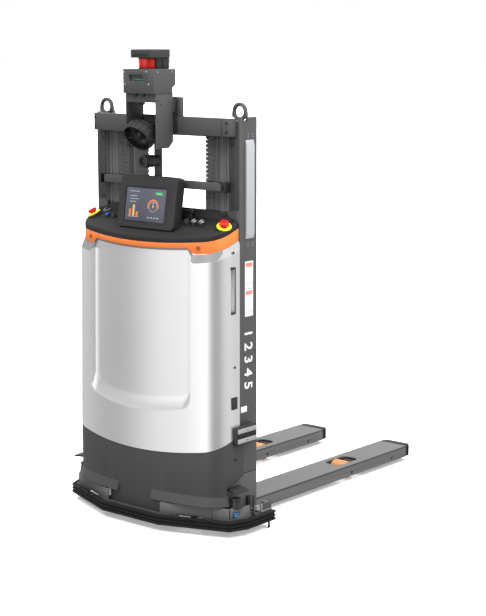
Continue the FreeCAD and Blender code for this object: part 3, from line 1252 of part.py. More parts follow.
def legs():
    low_x, high_x = f"{FORK_MIDDLE} - leg_width / 2", f"{FORK_MIDDLE} + leg_width / 2"
    form = block("LegForm", (low_x, high_x), (f"{BASE_BACK}", "leg_end_y"), ("leg_bottom_z", "leg_top_z"))
    end = value("leg_end_y")
    form = softened("LegToe", form, "18", lambda edge: is_line(edge) and edge.BoundBox.YMin > end - 0.01
                    and edge.BoundBox.ZMax < value("leg_bottom_z") + 1, "Part::Chamfer")
    hollow = block("LegHollow", (f"{low_x} + leg_plate", f"{high_x} - leg_plate"),
                   (f"{BASE_BACK} + leg_plate", "leg_end_y - leg_plate"), ("leg_bottom_z - 1", "leg_top_z - leg_plate"))
    window = block("LegWindow", (f"{FORK_MIDDLE} - roller_width / 2 - 5", f"{FORK_MIDDLE} + roller_width / 2 + 5"),
                   ("window_y - roller_radius - 24", "window_y + roller_radius + 24"),
                   ("leg_bottom_z - 1", "leg_top_z + 1"))
    axle = disc("LegAxle", "roller_axle_radius", f"leg_width - 2", f"{low_x} + 1", "window_y", "roller_radius", (1, 0, 0))
    bosses = [disc(f"LegBoss{number}", "roller_axle_radius + 6", "12", place, "window_y", "roller_radius", (1, 0, 0))
              for number, place in enumerate((f"{low_x} + leg_plate - 1", f"{high_x} - leg_plate - 11"))]
    lug = block("LegLug", (low_x, high_x), (f"{BASE_BACK} - 1", f"{BASE_BACK} + 10"), ("base_drop", BUMPER_TOP))
    lug = block("LegFoot", (low_x, high_x), (BASE_BACK, f"{BASE_BACK} + 10"), ("base_drop", "leg_top_z"))
    node("legs", pair("Legs", fuse("LegRight", cut("LegShell", form, hollow, window), axle, *bosses, lug)))
    for name, sign in (("load_roller_right", ""), ("load_roller_left", "-")):
        start = f"{sign}{FORK_MIDDLE} - roller_width / 2"
        tyre = disc(name + "Tyre", "roller_radius", "roller_width", start, "window_y", "roller_radius", (1, 0, 0))
        bore = disc(name + "Bore", "roller_axle_radius + roller_bore_gap", "roller_width + 2", f"{start} - 1",
                    "window_y", "roller_radius", (1, 0, 0))
        node(name, cut(name + "Whole", tyre, bore))


# Drive unit and casters
def drive():
    half = "drive_wheel_width / 2"
    wheel = disc("WheelTyre", "drive_wheel_radius", "drive_wheel_width", f"-{half}", "drive_y", "drive_wheel_radius",
                 (1, 0, 0))
    rim = value("drive_wheel_radius")
    wheel = softened("WheelRound", wheel, "6", lambda edge: edge.Curve.TypeId == "Part::GeomCircle")
    hub_rooms = [disc(f"HubRoom{number}", "drive_wheel_radius - 34", "14", place, "drive_y", "drive_wheel_radius",
                      (1, 0, 0)) for number, place in enumerate((f"-{half} - 1", f"{half} - 13"))]
    bore = disc("HubBore", "drive_axle_radius + roller_bore_gap", "drive_wheel_width + 4", f"-{half} - 2", "drive_y",
                "drive_wheel_radius", (1, 0, 0))
    node("drive_wheel", cut("DriveWheel", wheel, *hub_rooms, bore))
    plate = disc("TurretPlate", "turret_radius", "turret_plate", "0", "drive_y", "turret_z - running_gap")
    cheeks = [block(f"TurretCheek{number}", (low, high), ("drive_y - 34", "drive_y + 34"),
                    ("drive_wheel_radius - 26", "turret_z"))
              for number, (low, high) in enumerate(((f"{half} + 4", f"{half} + 18"), (f"-({half}) - 18", f"-({half}) - 4")))]
    axle = disc("DriveAxle", "drive_axle_radius", "drive_wheel_width + 24", f"-{half} - 12", "drive_y",
                "drive_wheel_radius", (1, 0, 0))
    motor = disc("DriveMotor", "motor_radius", "motor_height", "0", "drive_y", "turret_z + turret_plate - 1")
    node("drive_turret", fuse("DriveTurret", plate, *cheeks, axle, motor))


def casters():
    arm_x = "(caster_wheel_width / 2 + 2)"
    wheel_y = "(caster_y + caster_trail)"
    for side, sign in (("right", ""), ("left", "-")):
        middle = f"{sign}caster_x"
        plate = disc(f"CasterPlate{side}", "caster_arm + 26", "8", middle, "caster_y",
                     "caster_top_z - running_gap - 8")
        arms = [block(f"CasterArm{side}{number}", (f"{middle} + {low}", f"{middle} + {high}"),
                      ("caster_y - 12", f"{wheel_y} + 12"), ("caster_wheel_radius - 12", "caster_top_z - running_gap - 7"))
                for number, (low, high) in enumerate(((arm_x, f"{arm_x} + caster_arm"),
                                                      (f"-{arm_x} - caster_arm", f"-{arm_x}")))]
        axle = disc(f"CasterAxle{side}", "caster_axle_radius", f"2 * {arm_x} + 2 * caster_arm",
                    f"{middle} - {arm_x} - caster_arm", wheel_y, "caster_wheel_radius", (1, 0, 0))
        node(f"caster_fork_{side}", fuse(f"CasterFork{side}", plate, *arms, axle))
        start = f"{middle} - caster_wheel_width / 2"
        tyre = disc(f"CasterTyre{side}", "caster_wheel_radius", "caster_wheel_width", start, wheel_y,
                    "caster_wheel_radius", (1, 0, 0))
        bore = disc(f"CasterBore{side}", "caster_axle_radius + roller_bore_gap", "caster_wheel_width + 2",
                    f"{start} - 1", wheel_y, "caster_wheel_radius", (1, 0, 0))
        node(f"caster_wheel_{side}", cut(f"CasterWheel{side}", tyre, bore))


def power_pack():
    back = "(rail_front_y - 22)"
    battery = block("Battery", ("-battery_width / 2", "battery_width / 2"), (f"{back} - battery_depth", back),
                    ("battery_z", "battery_z + battery_height"))
    shelf = block("BatteryShelf", ("-column_x + column_flange", "column_x - column_flange"),
                  (f"{back} - battery_depth", "column_front_y"), ("battery_z - 8", "battery_z"))
    tabs = [block(f"ShelfTab{number}", (low, high), ("column_front_y - 6", "column_front_y"),
                  ("battery_z - 60", "battery_z"))
            for number, (low, high) in enumerate((("column_x - column_flange - 1", "column_x - 12"),
                                                  ("-column_x + 12", "-column_x + column_flange + 1")))]
    pump = block("PumpUnit", ("120", "120 + pump_width"), (f"{back} - battery_depth + 10", back),
                 ("battery_z - 8 - pump_height", "battery_z - 8"))
    node("power_pack", fuse("PowerPack", battery, shelf, *tabs, pump))


def cover_screws():
    y = "column_front_y - screw_setback"
    heads = []
    for number, height in enumerate(("screw_high_z", "screw_middle_z"), 1):
        across = f"body_half_width - ({cover_inset('0', height)}) + screw_seat"
        heads.append(disc(f"SideScrew{number}", "screw_radius", "screw_height", across, y, height, (1, 0, 0)))
    heads.append(disc("SkirtScrew", "screw_radius", "screw_height", "body_half_width", y, "screw_low_z", (1, 0, 0)))
    node("cover_screws", pair("CoverScrews", fuse("ScrewsRight", *heads)))



for build in (chassis_base, bumper, skirt, foot_covers, columns, mast_rails, top_beam, lifting_eyes, status_lamps,
              front_cover, trim_band, console_cap, controls, touch_screen, tower, lidar, warning_lamp, camera, cross_bar,
              charging, handle_cups, sensors, lift, carriage, legs, drive, casters, power_pack, cover_screws):
    build()
doc.recompute()

# Nothing is written unless every object is sound
faults = [item.Name for item in doc.Objects if {"Invalid", "Error"} & set(item.State)]
faults += [piece.Label for piece in nodes if piece.Shape.isNull() or not piece.Shape.isValid()
           or not piece.Shape.Solids]
if faults:
    raise RuntimeError("unsound: " + ", ".join(faults))

os.makedirs("parts", exist_ok=True)
for piece in nodes:
    piece.Shape.exportStep(f"parts/{piece.Label}.step")
print(len(nodes), "nodes,", sum(len(piece.Shape.Solids) for piece in nodes), "solids")
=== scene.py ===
import json
import math
import bpy
from mathutils import Matrix, Vector


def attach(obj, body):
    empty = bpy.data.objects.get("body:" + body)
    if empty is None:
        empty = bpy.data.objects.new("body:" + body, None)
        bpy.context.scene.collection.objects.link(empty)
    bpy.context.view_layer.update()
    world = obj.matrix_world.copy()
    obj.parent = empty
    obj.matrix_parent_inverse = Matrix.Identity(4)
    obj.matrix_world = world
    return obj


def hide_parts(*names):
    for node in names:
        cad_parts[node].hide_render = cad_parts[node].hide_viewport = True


bl_info = {
    "name": "Pallet stacker dresser",
    "version": (1, 0, 0),
    "blender": (4, 5, 0),
    "location": "3D View > Sidebar > Stacker",
    "description": "Gives the packed pallet stacker its finishes, soft edges and small fittings",
    "category": "Object",
}

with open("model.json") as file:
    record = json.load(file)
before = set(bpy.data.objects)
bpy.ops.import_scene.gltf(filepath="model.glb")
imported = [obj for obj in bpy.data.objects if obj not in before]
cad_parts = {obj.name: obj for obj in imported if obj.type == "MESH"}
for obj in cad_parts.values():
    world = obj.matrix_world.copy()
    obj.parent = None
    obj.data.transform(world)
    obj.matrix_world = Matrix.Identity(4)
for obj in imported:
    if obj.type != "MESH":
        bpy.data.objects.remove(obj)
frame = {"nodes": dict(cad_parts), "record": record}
NODES = frame["nodes"]
HOME = {node: body for body, members in frame["record"]["behaviour"]["bodies"].items() for node in members}
SLOT = {part["node"]: part["material_slot"] for part in frame["record"]["subparts"]}
IMAGE_HEIGHT = 616
MM = 0.001
PER_METRE = (1000, 1000, 1000)
UP, FRONT, RIGHT = (0, 0, 1), (0, -1, 0), (1, 0, 0)

# Planes and places that several pieces share, in millimetres. A plane is its height at the cover's rear
# edge and its slope.
REAR_EDGE = -572
SEAM = (435, 0.492)
TRIM = (1273, 0.35)
DECK = (1300, 0.38)
DECK_OUT = Vector((0, -DECK[1], 1)).normalized()
CONTROL_LINE = -630
SCREEN_LEAN = math.radians(9.4)
SCREEN_UP = Vector((0, math.sin(SCREEN_LEAN), math.cos(SCREEN_LEAN)))
SCREEN_OUT = Vector((0, -math.cos(SCREEN_LEAN), math.sin(SCREEN_LEAN)))
SCREEN_MIDDLE = Vector((0, -708, 1254)) + SCREEN_UP * 98
LIDAR = (2, -677, 0)
SCANNER = (427, -640, 0)


# Shader maths -------------------------------------------------------------------------------


def operation(kind):
    return lambda wire, *others: wire.maths(kind, *others)


class Wire:
    """One value in a material's node tree, which can be used in ordinary sums."""

    def __init__(self, finish, socket):
        self.finish = finish
        self.socket = socket

    def maths(self, kind, *others, clamp=False):
        return self.finish.node("ShaderNodeMath", {"operation": kind, "use_clamp": clamp}, [self, *others])

    __add__ = __radd__ = operation("ADD")
    __sub__ = operation("SUBTRACT")
    __mul__ = __rmul__ = operation("MULTIPLY")
    __truediv__ = operation("DIVIDE")
    __pow__ = operation("POWER")
    __lt__ = operation("LESS_THAN")
    __gt__ = operation("GREATER_THAN")
    size = operation("ABSOLUTE")
    remainder = operation("FLOORED_MODULO")

    def __rsub__(self, other):
        return self.finish.node("ShaderNodeMath", {"operation": "SUBTRACT"}, [other, self])

    def held(self):
        return self.maths("ADD", 0.0, clamp=True)

    def between(self, low, high):
        """1 where the value lies between low and high, and 0 elsewhere."""
        return (self > low) * (self < high)

    def ramp(self, low, high):
        """Runs from 0 at low to 1 at high, and is held at both ends."""
        return ((self - low) / (high - low)).held()


class Finish:
    """A material under construction, or the sky of the studio."""

    def __init__(self, name, sky=None):
        self.material = sky or bpy.data.materials.new(name)
        self.material.use_nodes = True
        self.tree = self.material.node_tree
        self.tree.nodes.clear()

    def node(self, kind, settings=None, inputs=(), out=0):
        """Adds a node: its settings first, then the values or wires of its sockets."""
        made = self.tree.nodes.new(kind)
        for name, setting in (settings or {}).items():
            setattr(made, name, setting)
        for key, given in inputs.items() if isinstance(inputs, dict) else enumerate(inputs):
            socket = made.inputs[key]
            if isinstance(given, Wire):
                self.tree.links.new(given.socket, socket)
            elif given is not None:
                plain_colour = socket.type == "RGBA" and len(given) == 3
                socket.default_value = (*given, 1.0) if plain_colour else given
        return Wire(self, made.outputs[out]) if made.outputs else None

    def place(self, centre=(0, 0, 0), turn=(0, 0, 0), scale=None):
        """Position on the piece in metres; with a scale it is moved, turned and stretched."""
        raw = self.node("ShaderNodeTexCoord", out=3)
        if scale is None:
            return raw
        moved = self.node("ShaderNodeMapping", {"vector_type": "TEXTURE"}, [raw, centre, turn, (1, 1, 1)])
        return self.node("ShaderNodeVectorMath", {"operation": "MULTIPLY"}, [moved, scale])

    def axes(self, place):
        made = self.node("ShaderNodeSeparateXYZ", None, [place]).socket.node
        return [Wire(self, socket) for socket in made.outputs]

    def noise(self, place, scale, detail=2.0, roughness=0.5):
        return self.node("ShaderNodeTexNoise", {"noise_dimensions": "3D"},
                         {"Vector": place, "Scale": scale, "Detail": detail, "Roughness": roughness})

    def blended(self, share, first, second):
        """A colour that goes from first to second as share goes from 0 to 1."""
        return self.node("ShaderNodeMix", {"data_type": "RGBA"}, {0: share, 6: first, 7: second}, 2)

    def tinted(self, share, colour, low, high):
        """The colour, low times as bright where share is 0 and high times where it is 1."""
        return self.blended(share, shade(colour, low), shade(colour, high))

    def relief(self, height, depth):
        return self.node("ShaderNodeBump", None, {"Strength": 1.0, "Distance": depth, "Height": height})

    def done(self, colour, rough, metal=0.0, relief=None, shine=0.5, alpha=1.0, glow=None, glow_strength=0.0):
        shader = self.node("ShaderNodeBsdfPrincipled", None, {
            "Base Color": colour, "Roughness": rough, "Metallic": metal, "Normal": relief,
            "Specular IOR Level": shine, "Alpha": alpha, "Emission Color": glow,
            "Emission Strength": glow_strength})
        self.node("ShaderNodeOutputMaterial", None, [shader])
        return self.material


def shade(colour, amount):
    return tuple(min(1.0, part * amount) for part in colour)


def sprayed(name, colour, rough=0.4, metal=0.0, peel=0.00006, cloud=0.04):
    """Spray paint: a faint cloudiness, fine orange peel and slightly uneven gloss."""
    finish = Finish(name)
    place = finish.place()
    cloudy = finish.noise(place, 3.0, 3.0)
    grain = finish.noise(place, 900.0)
    tint = finish.tinted((cloudy - 0.5) * 2.0 * cloud + 0.5, colour, 1 - cloud * 2, 1 + cloud * 2)
    gloss = rough + (grain - 0.5) * 0.10 + (cloudy - 0.5) * 0.08
    return finish.done(tint, gloss, metal, finish.relief(grain, peel))


def moulded(name, colour, rough=0.5, shine=0.5):
    """Moulded plastic with a fine spark-eroded grain."""
    finish = Finish(name)
    place = finish.place()
    grain = finish.node("ShaderNodeTexVoronoi", {"feature": "SMOOTH_F1"}, {"Vector": place, "Scale": 1400.0})
    cloudy = finish.noise(place, 6.0)
    gloss = rough + (cloudy - 0.5) * 0.06 - grain * 0.05
    return finish.done(finish.tinted(cloudy, colour, 0.97, 1.03), gloss, 0.0, finish.relief(grain, 0.00008),
                       shine)


def glossy(name, colour, rough=0.12, cloud=0.02):
    """Smooth hard plastic with a faint waviness."""
    finish = Finish(name)
    wavy = finish.noise(finish.place(), 25.0, 1.0)
    return finish.done(finish.tinted(wavy, colour, 1 - cloud, 1 + cloud), rough + (wavy - 0.5) * 0.05, 0.0,
                       finish.relief(wavy, 0.00005))


def brushed(name, colour, rough=0.28, lines=1.0, metal=1.0, along="z"):
    """Metal brushed along one axis."""
    finish = Finish(name)
    fine, coarse = 2600.0, 18.0
    streak = finish.noise(finish.place(scale=[coarse if axis == along else fine for axis in "xyz"]), 1.0)
    smear = finish.noise(finish.place(), 14.0)
    tint = finish.tinted(streak, colour, 1 - 0.12 * lines, 1 + 0.10 * lines)
    gloss = rough + (streak - 0.5) * 0.18 * lines + (smear - 0.5) * 0.08
    return finish.done(tint, gloss, metal, finish.relief(streak, 0.00002 * lines))


def cast(name, colour, rough=0.6, metal=0.6):
    """Sand-cast metal with a pebbly skin."""
    finish = Finish(name)
    place = finish.place()
    pebble = finish.noise(place, 420.0, 4.0, 0.6)
    stain = finish.noise(place, 18.0, 3.0)
    return finish.done(finish.tinted(stain, colour, 0.8, 1.2), rough + (pebble - 0.5) * 0.2, metal,
                       finish.relief(pebble, 0.0003))


def rubbery(name, colour, rough=0.62):
    """Black rubber with a dusty, slightly pitted skin."""
    finish = Finish(name)
    place = finish.place()
    pits = finish.noise(place, 1500.0, 3.0, 0.7)
    dust = finish.noise(place, 9.0, 4.0)
    gloss = rough + (dust - 0.5) * 0.12 + (pits - 0.5) * 0.1
    return finish.done(finish.tinted(dust * 0.7, colour, 1.0, 1.9), gloss, 0.0, finish.relief(pits, 0.0001),
                       0.2)


def clear_sheet(name, colour, alpha):
    """Clear polycarbonate with a faint haze."""
    finish = Finish(name)
    haze = finish.noise(finish.place(), 5.0, 3.0)
    return finish.done(finish.tinted(haze, colour, 0.97, 1.0), 0.08 + haze * 0.06,
                       alpha=alpha + (haze - 0.5) * 0.04)


def screen_picture(name):
    """A lit display: a dial, three level bars, a green tag and rows of pale dashes on slate."""
    finish = Finish(name)
    centre = SCREEN_MIDDLE * MM + Vector((-0.009, 0, 0))
    across, depth, up = finish.axes(finish.place(tuple(centre), (-SCREEN_LEAN, 0, 0), PER_METRE))

    def patch(x, z, width, height):
        return ((across - x).size() < width / 2) * ((up - z).size() < height / 2)

    def dashes(x, z, width, height, step, share):
        return patch(x, z, width, height) * (across.remainder(step) < step * share)

    ring = ((across - 44) * (across - 44) + (up + 6) * (up + 6)) ** 0.5
    orange = (0.85, 0.25, 0.06)
    rows = (dashes(-66, 54, 56, 3, 7, 0.65) + dashes(-70, 34, 40, 3, 5.5, 0.7)
            + dashes(-66, 22, 48, 3, 8, 0.6) + dashes(-72, 10, 36, 3, 6.5, 0.7)
            + dashes(46, -52, 70, 4, 17.5, 0.55))
    picture = finish.blended(up.ramp(-70, 70), (0.075, 0.078, 0.105), (0.115, 0.118, 0.155))
    for mask, colour in ((ring.between(20.5, 22), (0.55, 0.55, 0.60)),
                         (ring.between(25, 31) * (up > -14), orange),
                         (ring < 5, orange),
                         (patch(44, 4, 2.4, 20), (0.85, 0.80, 0.70)),
                         (patch(72, 50, 44, 13), (0.03, 0.42, 0.13)),
                         (dashes(72, 50, 26, 3, 6, 0.7), (0.75, 0.85, 0.75)),
                         (patch(-84, -36, 12, 30), orange),
                         (patch(-64, -27, 12, 48), (0.80, 0.55, 0.18)),
                         (patch(-44, -41, 12, 20), orange),
                         (patch(-64, -53, 62, 1.4), (0.60, 0.60, 0.65)),
                         (rows.held(), (0.62, 0.62, 0.68))):
        picture = finish.blended(mask, picture, colour)
    lit = (across.size() < 112) * (up.size() < 69)
    picture = finish.blended(lit, (0.012, 0.012, 0.014), picture)
    return finish.done(finish.blended(0.75, picture, (0.004, 0.004, 0.005)),
                       0.10 + finish.noise(finish.place(), 12.0) * 0.05, glow=picture, glow_strength=0.75)


def chain_links(name, colour):
    """Leaf chain: dark plates in rows with brighter pin heads."""
    finish = Finish(name)
    across, along, up = finish.axes(finish.place(scale=PER_METRE))
    link = up.remainder(15.9)
    gap = link < 1.8
    heads = ((link - 9).size() < 2.6) * (across.size() - 242).size().between(1.5, 5.5)
    speck = finish.noise(finish.place(), 260.0, 3.0)
    tint = finish.blended(heads, finish.tinted(speck, colour, 0.5, 1.4), (0.55, 0.55, 0.56))
    tint = finish.blended(gap, tint, (0.01, 0.01, 0.01))
    return finish.done(tint, 0.35 + speck * 0.2, 0.6, finish.relief(heads - gap, 0.0015))


def blank_plate(name):
    """White enamelled plates, left blank but for a coloured band at the top and two pairs of rules."""
    finish = Finish(name)
    across, along, up = finish.axes(finish.place(scale=PER_METRE))
    grime = finish.noise(finish.place(), 30.0, 3.0)
    bands = up.between(1108, 1126) + up.between(992, 1010)
    rules = up.between(1036, 1038) + up.between(1044, 1046) + up.between(920, 922) + up.between(928, 930)
    within = along.between(-535, -491)
    tint = finish.blended(grime * 0.4, (0.80, 0.80, 0.80), (0.70, 0.70, 0.69))
    tint = finish.blended(bands * within, tint, (0.66, 0.20, 0.18))
    tint = finish.blended(rules * within, tint, (0.40, 0.40, 0.41))
    return finish.done(tint, 0.28 + grime * 0.1)


# Settings -----------------------------------------------------------------------------------


def colour_choice(label, note, value):
    return bpy.props.FloatVectorProperty(name=label, description=note, default=value, subtype="COLOR",
                                         size=3, min=0.0, max=1.0)


def number_choice(label, note, value, **kind):
    return bpy.props.FloatProperty(name=label, description=note, default=value, **kind)


class StackerColours(bpy.types.PropertyGroup):
    """Colours of the stacker's paints and mouldings."""
    silver: colour_choice("Silver", "Satin paint of the tall front cover", (0.92, 0.92, 0.925))
    orange: colour_choice("Orange", "Trim band under the console", (0.93, 0.22, 0.045))
    console: colour_choice("Console", "Moulded top, screen case and nose caps", (0.022, 0.022, 0.023))
    skirt: colour_choice("Skirt", "Powder coat of the skirt and the base", (0.040, 0.040, 0.041))
    upright: colour_choice("Uprights", "Powder coat of the uprights and the beam", (0.070, 0.070, 0.071))
    fork: colour_choice("Forks", "Paint of the forks", (0.105, 0.105, 0.105))
    black: colour_choice("Black", "Small black mouldings", (0.018, 0.018, 0.019))
    rubber: colour_choice("Rubber", "Bumper rubber", (0.007, 0.007, 0.0075))
    lamp: colour_choice("Lamp covers", "Frosted covers on the uprights", (0.50, 0.51, 0.53))
    steel: colour_choice("Steel", "Bare and plated steel", (0.52, 0.52, 0.53))
    yellow: colour_choice("Yellow", "Discs under the stop buttons", (0.90, 0.66, 0.02))
    red: colour_choice("Red", "Stop buttons", (0.62, 0.012, 0.012))
    blue: colour_choice("Blue", "Push button", (0.015, 0.07, 0.50))
    lidar: colour_choice("Lidar window", "Dark red window of the lidar", (0.52, 0.010, 0.004))
    scanner: colour_choice("Scanner window", "Blue window of the corner scanners", (0.02, 0.22, 0.55))
    roller: colour_choice("Roller", "Polyurethane of the load rollers", (0.42, 0.17, 0.06))
    tread: colour_choice("Tread", "Rubber of the drive wheel and casters", (0.05, 0.045, 0.04))


class StackerView(bpy.types.PropertyGroup):
    """Strength of the lamps and place of the camera."""
    overhead: number_choice("Overhead lamp", "Brightness of the wide lamp overhead", 5.2, min=0.0)
    right_hand: number_choice("Right-hand lamp", "Brightness of the tall lamp on the right", 1.8, min=0.0)
    camera_distance: number_choice("Camera distance", "From aim point to camera", 7.33865, unit="LENGTH")
    camera_side: number_choice("Aim, across", "Where the camera aims, along X", -0.055915, unit="LENGTH")
    camera_height: number_choice("Aim height", "Aim point above the floor", 0.816857, unit="LENGTH")
    azimuth: number_choice("Azimuth", "Camera's turn from the front", math.radians(39.898), subtype="ANGLE")
    elevation: number_choice("Elevation", "Camera's height above level", math.radians(9.838), subtype="ANGLE")
    focal_pixels: number_choice("Focal length in pixels", "For an image 616 pixels high", 1606.35)


def colours():
    return bpy.context.scene.stacker_colours


def view():
    return bpy.context.scene.stacker_view


# Brightness of the studio's walls by degrees round from the front, plus to the right
PANELS = ((-180, 0.60), (-100, 0.62), (-78, 0.80), (-68, 0.50), (-54, 0.40), (-46, 0.46), (-36, 0.92),
          (-26, 1.20), (-19, 0.82), (-12, 1.25), (2, 1.75), (19, 1.05), (35, 0.34), (62, 0.34), (84, 0.66),
          (112, 0.78), (180, 0.60))

# How each finish is made: the kind of surface, its colour, and its roughness and other measures. The colour
# is three numbers, or a setting's name and how bright it is taken.
RECIPES = {
    "silver_paint": (sprayed, ("silver", 1), 0.30, 0.9, 0.00003, 0.012),
    # A darker copy of the silver: painted shade for the bevel under the band
    "bevel_paint": (sprayed, ("silver", 0.34), 0.35, 0.5, 0.00003, 0.012),
    "orange_paint": (sprayed, ("orange", 1), 0.35, 0.0, 0.00005),
    # A darker copy of the orange: painted shade in the screw cups of the band's tabs
    "deep_orange": (sprayed, ("orange", 0.45), 0.4),
    "dark_paint": (sprayed, ("skirt", 1), 0.42, 0.0, 0.00008),
    "mid_grey_paint": (sprayed, ("upright", 1), 0.45, 0.0, 0.00008),
    "upright_paint": (sprayed, ("upright", 1), 0.45, 0.0, 0.00008),
    "rail_paint": (sprayed, ("upright", 1.15), 0.45, 0.0, 0.00008),
    "fascia_paint": (sprayed, ("upright", 1.4), 0.45, 0.0, 0.00008),
    "fork_paint": (sprayed, ("fork", 1), 0.42, 0.1, 0.00008),
    "cup_metal": (sprayed, (0.62, 0.62, 0.63), 0.4, 0.2),
    "board_green": (sprayed, (0.02, 0.28, 0.16), 0.4),
    "white_print": (sprayed, (0.82, 0.82, 0.82), 0.4),
    "dark_plastic": (moulded, ("console", 1), 0.42),
    "deck_plastic": (moulded, ("console", 0.8), 0.5, 0.3),
    "black_plastic": (moulded, ("black", 1), 0.4),
    "nose_black": (moulded, (0.007, 0.007, 0.0075), 0.4),
    "lifter_grey": (moulded, (0.16, 0.16, 0.165), 0.4),
    "knob_grey": (moulded, (0.34, 0.34, 0.345), 0.35),
    "black_gloss": (glossy, (0.020, 0.020, 0.021), 0.28),
    "lens_glass": (glossy, (0.006, 0.007, 0.012), 0.04),
    "lamp_cover": (glossy, ("lamp", 0.8), 0.22),
    "roller_tread": (glossy, ("roller", 1), 0.3, 0.06),
    "yellow_plastic": (glossy, ("yellow", 1), 0.3),
    "red_plastic": (glossy, ("red", 1), 0.22),
    "blue_plastic": (glossy, ("blue", 1), 0.22),
    "lidar_red": (glossy, ("lidar", 1), 0.08),
    "scanner_blue": (glossy, ("scanner", 0.6), 0.15),
    "steel": (brushed, ("steel", 1), 0.32),
    "contact_metal": (brushed, ("steel", 1.5), 0.3, 0.6, 1.0, "y"),
    "black_steel": (brushed, (0.02, 0.02, 0.021), 0.4, 0.5, 0.4),
    "dark_steel": (brushed, (0.10, 0.10, 0.105), 0.28, 0.8, 0.7),
    "pale_steel": (brushed, (0.55, 0.55, 0.56), 0.35, 0.6, 0.7),
    "tray_metal": (brushed, (0.30, 0.30, 0.31), 0.4, 0.6, 0.5),
    "cast_hub": (cast, ("steel", 0.28)),
    "black_rubber": (rubbery, ("rubber", 1), 0.5),
    "wheel_tread": (rubbery, ("tread", 1)),
    "clear_guard": (clear_sheet, (0.70, 0.72, 0.74), 0.06),
    "chain_links": (chain_links, (0.05, 0.05, 0.052)),
    "screen_picture": (screen_picture,),
    "blank_plate": (blank_plate,),
}
PAINTS = {}


def paint(name):
    """The finish of that name, made the first time it is asked for."""
    if name not in PAINTS:
        maker, *given = RECIPES[name]
        if given and len(given[0]) == 2:
            setting, amount = given[0]
            given[0] = shade(tuple(getattr(colours(), setting)), amount)
        PAINTS[name] = maker(name, *given)
    return PAINTS[name]


# Modelling ----------------------------------------------------------------------------------


def at(x, y, z):
    """A place given in millimetres."""
    return Vector((x, y, z)) * MM


def deselect():
    if bpy.context.mode != "OBJECT":
        bpy.ops.object.mode_set(mode="OBJECT")
    bpy.ops.object.select_all(action="DESELECT")


def pick(piece):
    deselect()
    piece.select_set(True)
    bpy.context.view_layer.objects.active = piece
    return piece


def open_mesh(piece):
    pick(piece)
    bpy.ops.object.mode_set(mode="EDIT")
    bpy.ops.mesh.select_all(action="SELECT")


def close_mesh(piece):
    bpy.ops.object.mode_set(mode="OBJECT")
    return piece


def bake_place(piece):
    pick(piece)
    bpy.ops.object.transform_apply(location=True, rotation=True, scale=True)
    return piece


def placed(piece, place):
    piece.matrix_world = place
    return bake_place(piece)


def stood(spot, axis):
    """The turn and shift that take a piece from the origin to a spot, upright along the axis."""
    return Matrix.Translation(spot * MM) @ Vector(UP).rotation_difference(axis).to_matrix().to_4x4()


def modify(piece, kind, **settings):
    pick(piece)
    modifier = piece.modifiers.new(kind.title(), kind)
    for name, setting in settings.items():
        setattr(modifier, name, setting)
    bpy.ops.object.modifier_apply(modifier=modifier.name)
    return piece


def smooth(piece, angle=32):
    pick(piece)
    bpy.ops.object.shade_smooth_by_angle(angle=math.radians(angle))
    return piece


def softened(piece, edge, segments=2, limit="ANGLE"):
    """Rounds the hard edges, or every edge with the limit NONE. The edge is in millimetres."""
    modify(piece, "BEVEL", width=edge * MM, segments=segments, limit_method=limit,
           angle_limit=math.radians(28))
    return smooth(piece)


def outward(piece):
    open_mesh(piece)
    bpy.ops.mesh.remove_doubles(threshold=0.000005)
    bpy.ops.mesh.normals_make_consistent(inside=False)
    return close_mesh(piece)


def settle(piece, body, finish, replaced=()):
    """Puts a finished piece on its body, with its paint, and hides the CAD nodes it replaces."""
    bake_place(piece)
    piece.data.materials.clear()
    piece.data.materials.append(finish)
    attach(piece, body)
    if replaced:
        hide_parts(*replaced)
    return piece


def eased(node, width, finish=None, segments=2):
    """A welded copy of a CAD node with its hard edges rounded, which stands for the node."""
    piece = bpy.data.objects.new(node + "_eased", NODES[node].data.copy())
    bpy.context.scene.collection.objects.link(piece)
    pick(piece)
    bpy.ops.mesh.customdata_custom_splitnormals_clear()
    open_mesh(piece)
    bpy.ops.mesh.remove_doubles(threshold=0.00002)
    bpy.ops.mesh.dissolve_limited(angle_limit=math.radians(0.4))
    close_mesh(piece)
    softened(piece, width, segments)
    settle(piece, HOME[node], paint(finish or SLOT[node]), [node])


def ease_all(*rows):
    for row in rows:
        eased(*row)


def repainted(node, finish):
    """A CAD node kept as it is, with a better material."""
    NODES[node].data.materials.clear()
    NODES[node].data.materials.append(paint(finish))


def slab(name, low, high, edge=1.0, segments=2):
    """A cuboid between two corners with rounded edges, in millimetres."""
    deselect()
    low, high = at(*low), at(*high)
    bpy.ops.mesh.primitive_cube_add(size=1, location=(low + high) / 2, scale=high - low)
    piece = bpy.context.object
    piece.name = name
    return softened(bake_place(piece), edge, segments, "NONE")


def slabs(name, edge, *boxes, segments=2):
    return [slab(name, low, high, edge, segments) for low, high in boxes]


def traced(name, points):
    """A line of edges drawn from point to point, left in edit mode."""
    deselect()
    bpy.ops.mesh.primitive_circle_add(vertices=3, radius=0.001, location=points[0])
    piece = bpy.context.object
    piece.name = name
    bpy.ops.object.mode_set(mode="EDIT")
    bpy.ops.mesh.select_mode(type="VERT")
    bpy.ops.mesh.select_all(action="SELECT")
    bpy.ops.mesh.merge(type="CENTER")
    for here, there in zip(points, points[1:]):
        bpy.ops.mesh.extrude_vertices_move(TRANSFORM_OT_translate={"value": there - here})
    bpy.ops.mesh.select_all(action="SELECT")
    return piece


def lathe(name, profile, centre, axis=UP, steps=32):
    """A profile of (radius, height) in millimetres, spun round an axis through the centre."""
    axis = Vector(axis).normalized()
    side = axis.orthogonal().normalized()
    base = at(*centre)
    piece = traced(name, [base + (side * radius + axis * height) * MM for radius, height in profile])
    bpy.ops.mesh.spin(steps=steps, angle=math.tau, center=base, axis=axis)
    return smooth(outward(bake_place(close_mesh(piece))), 35)


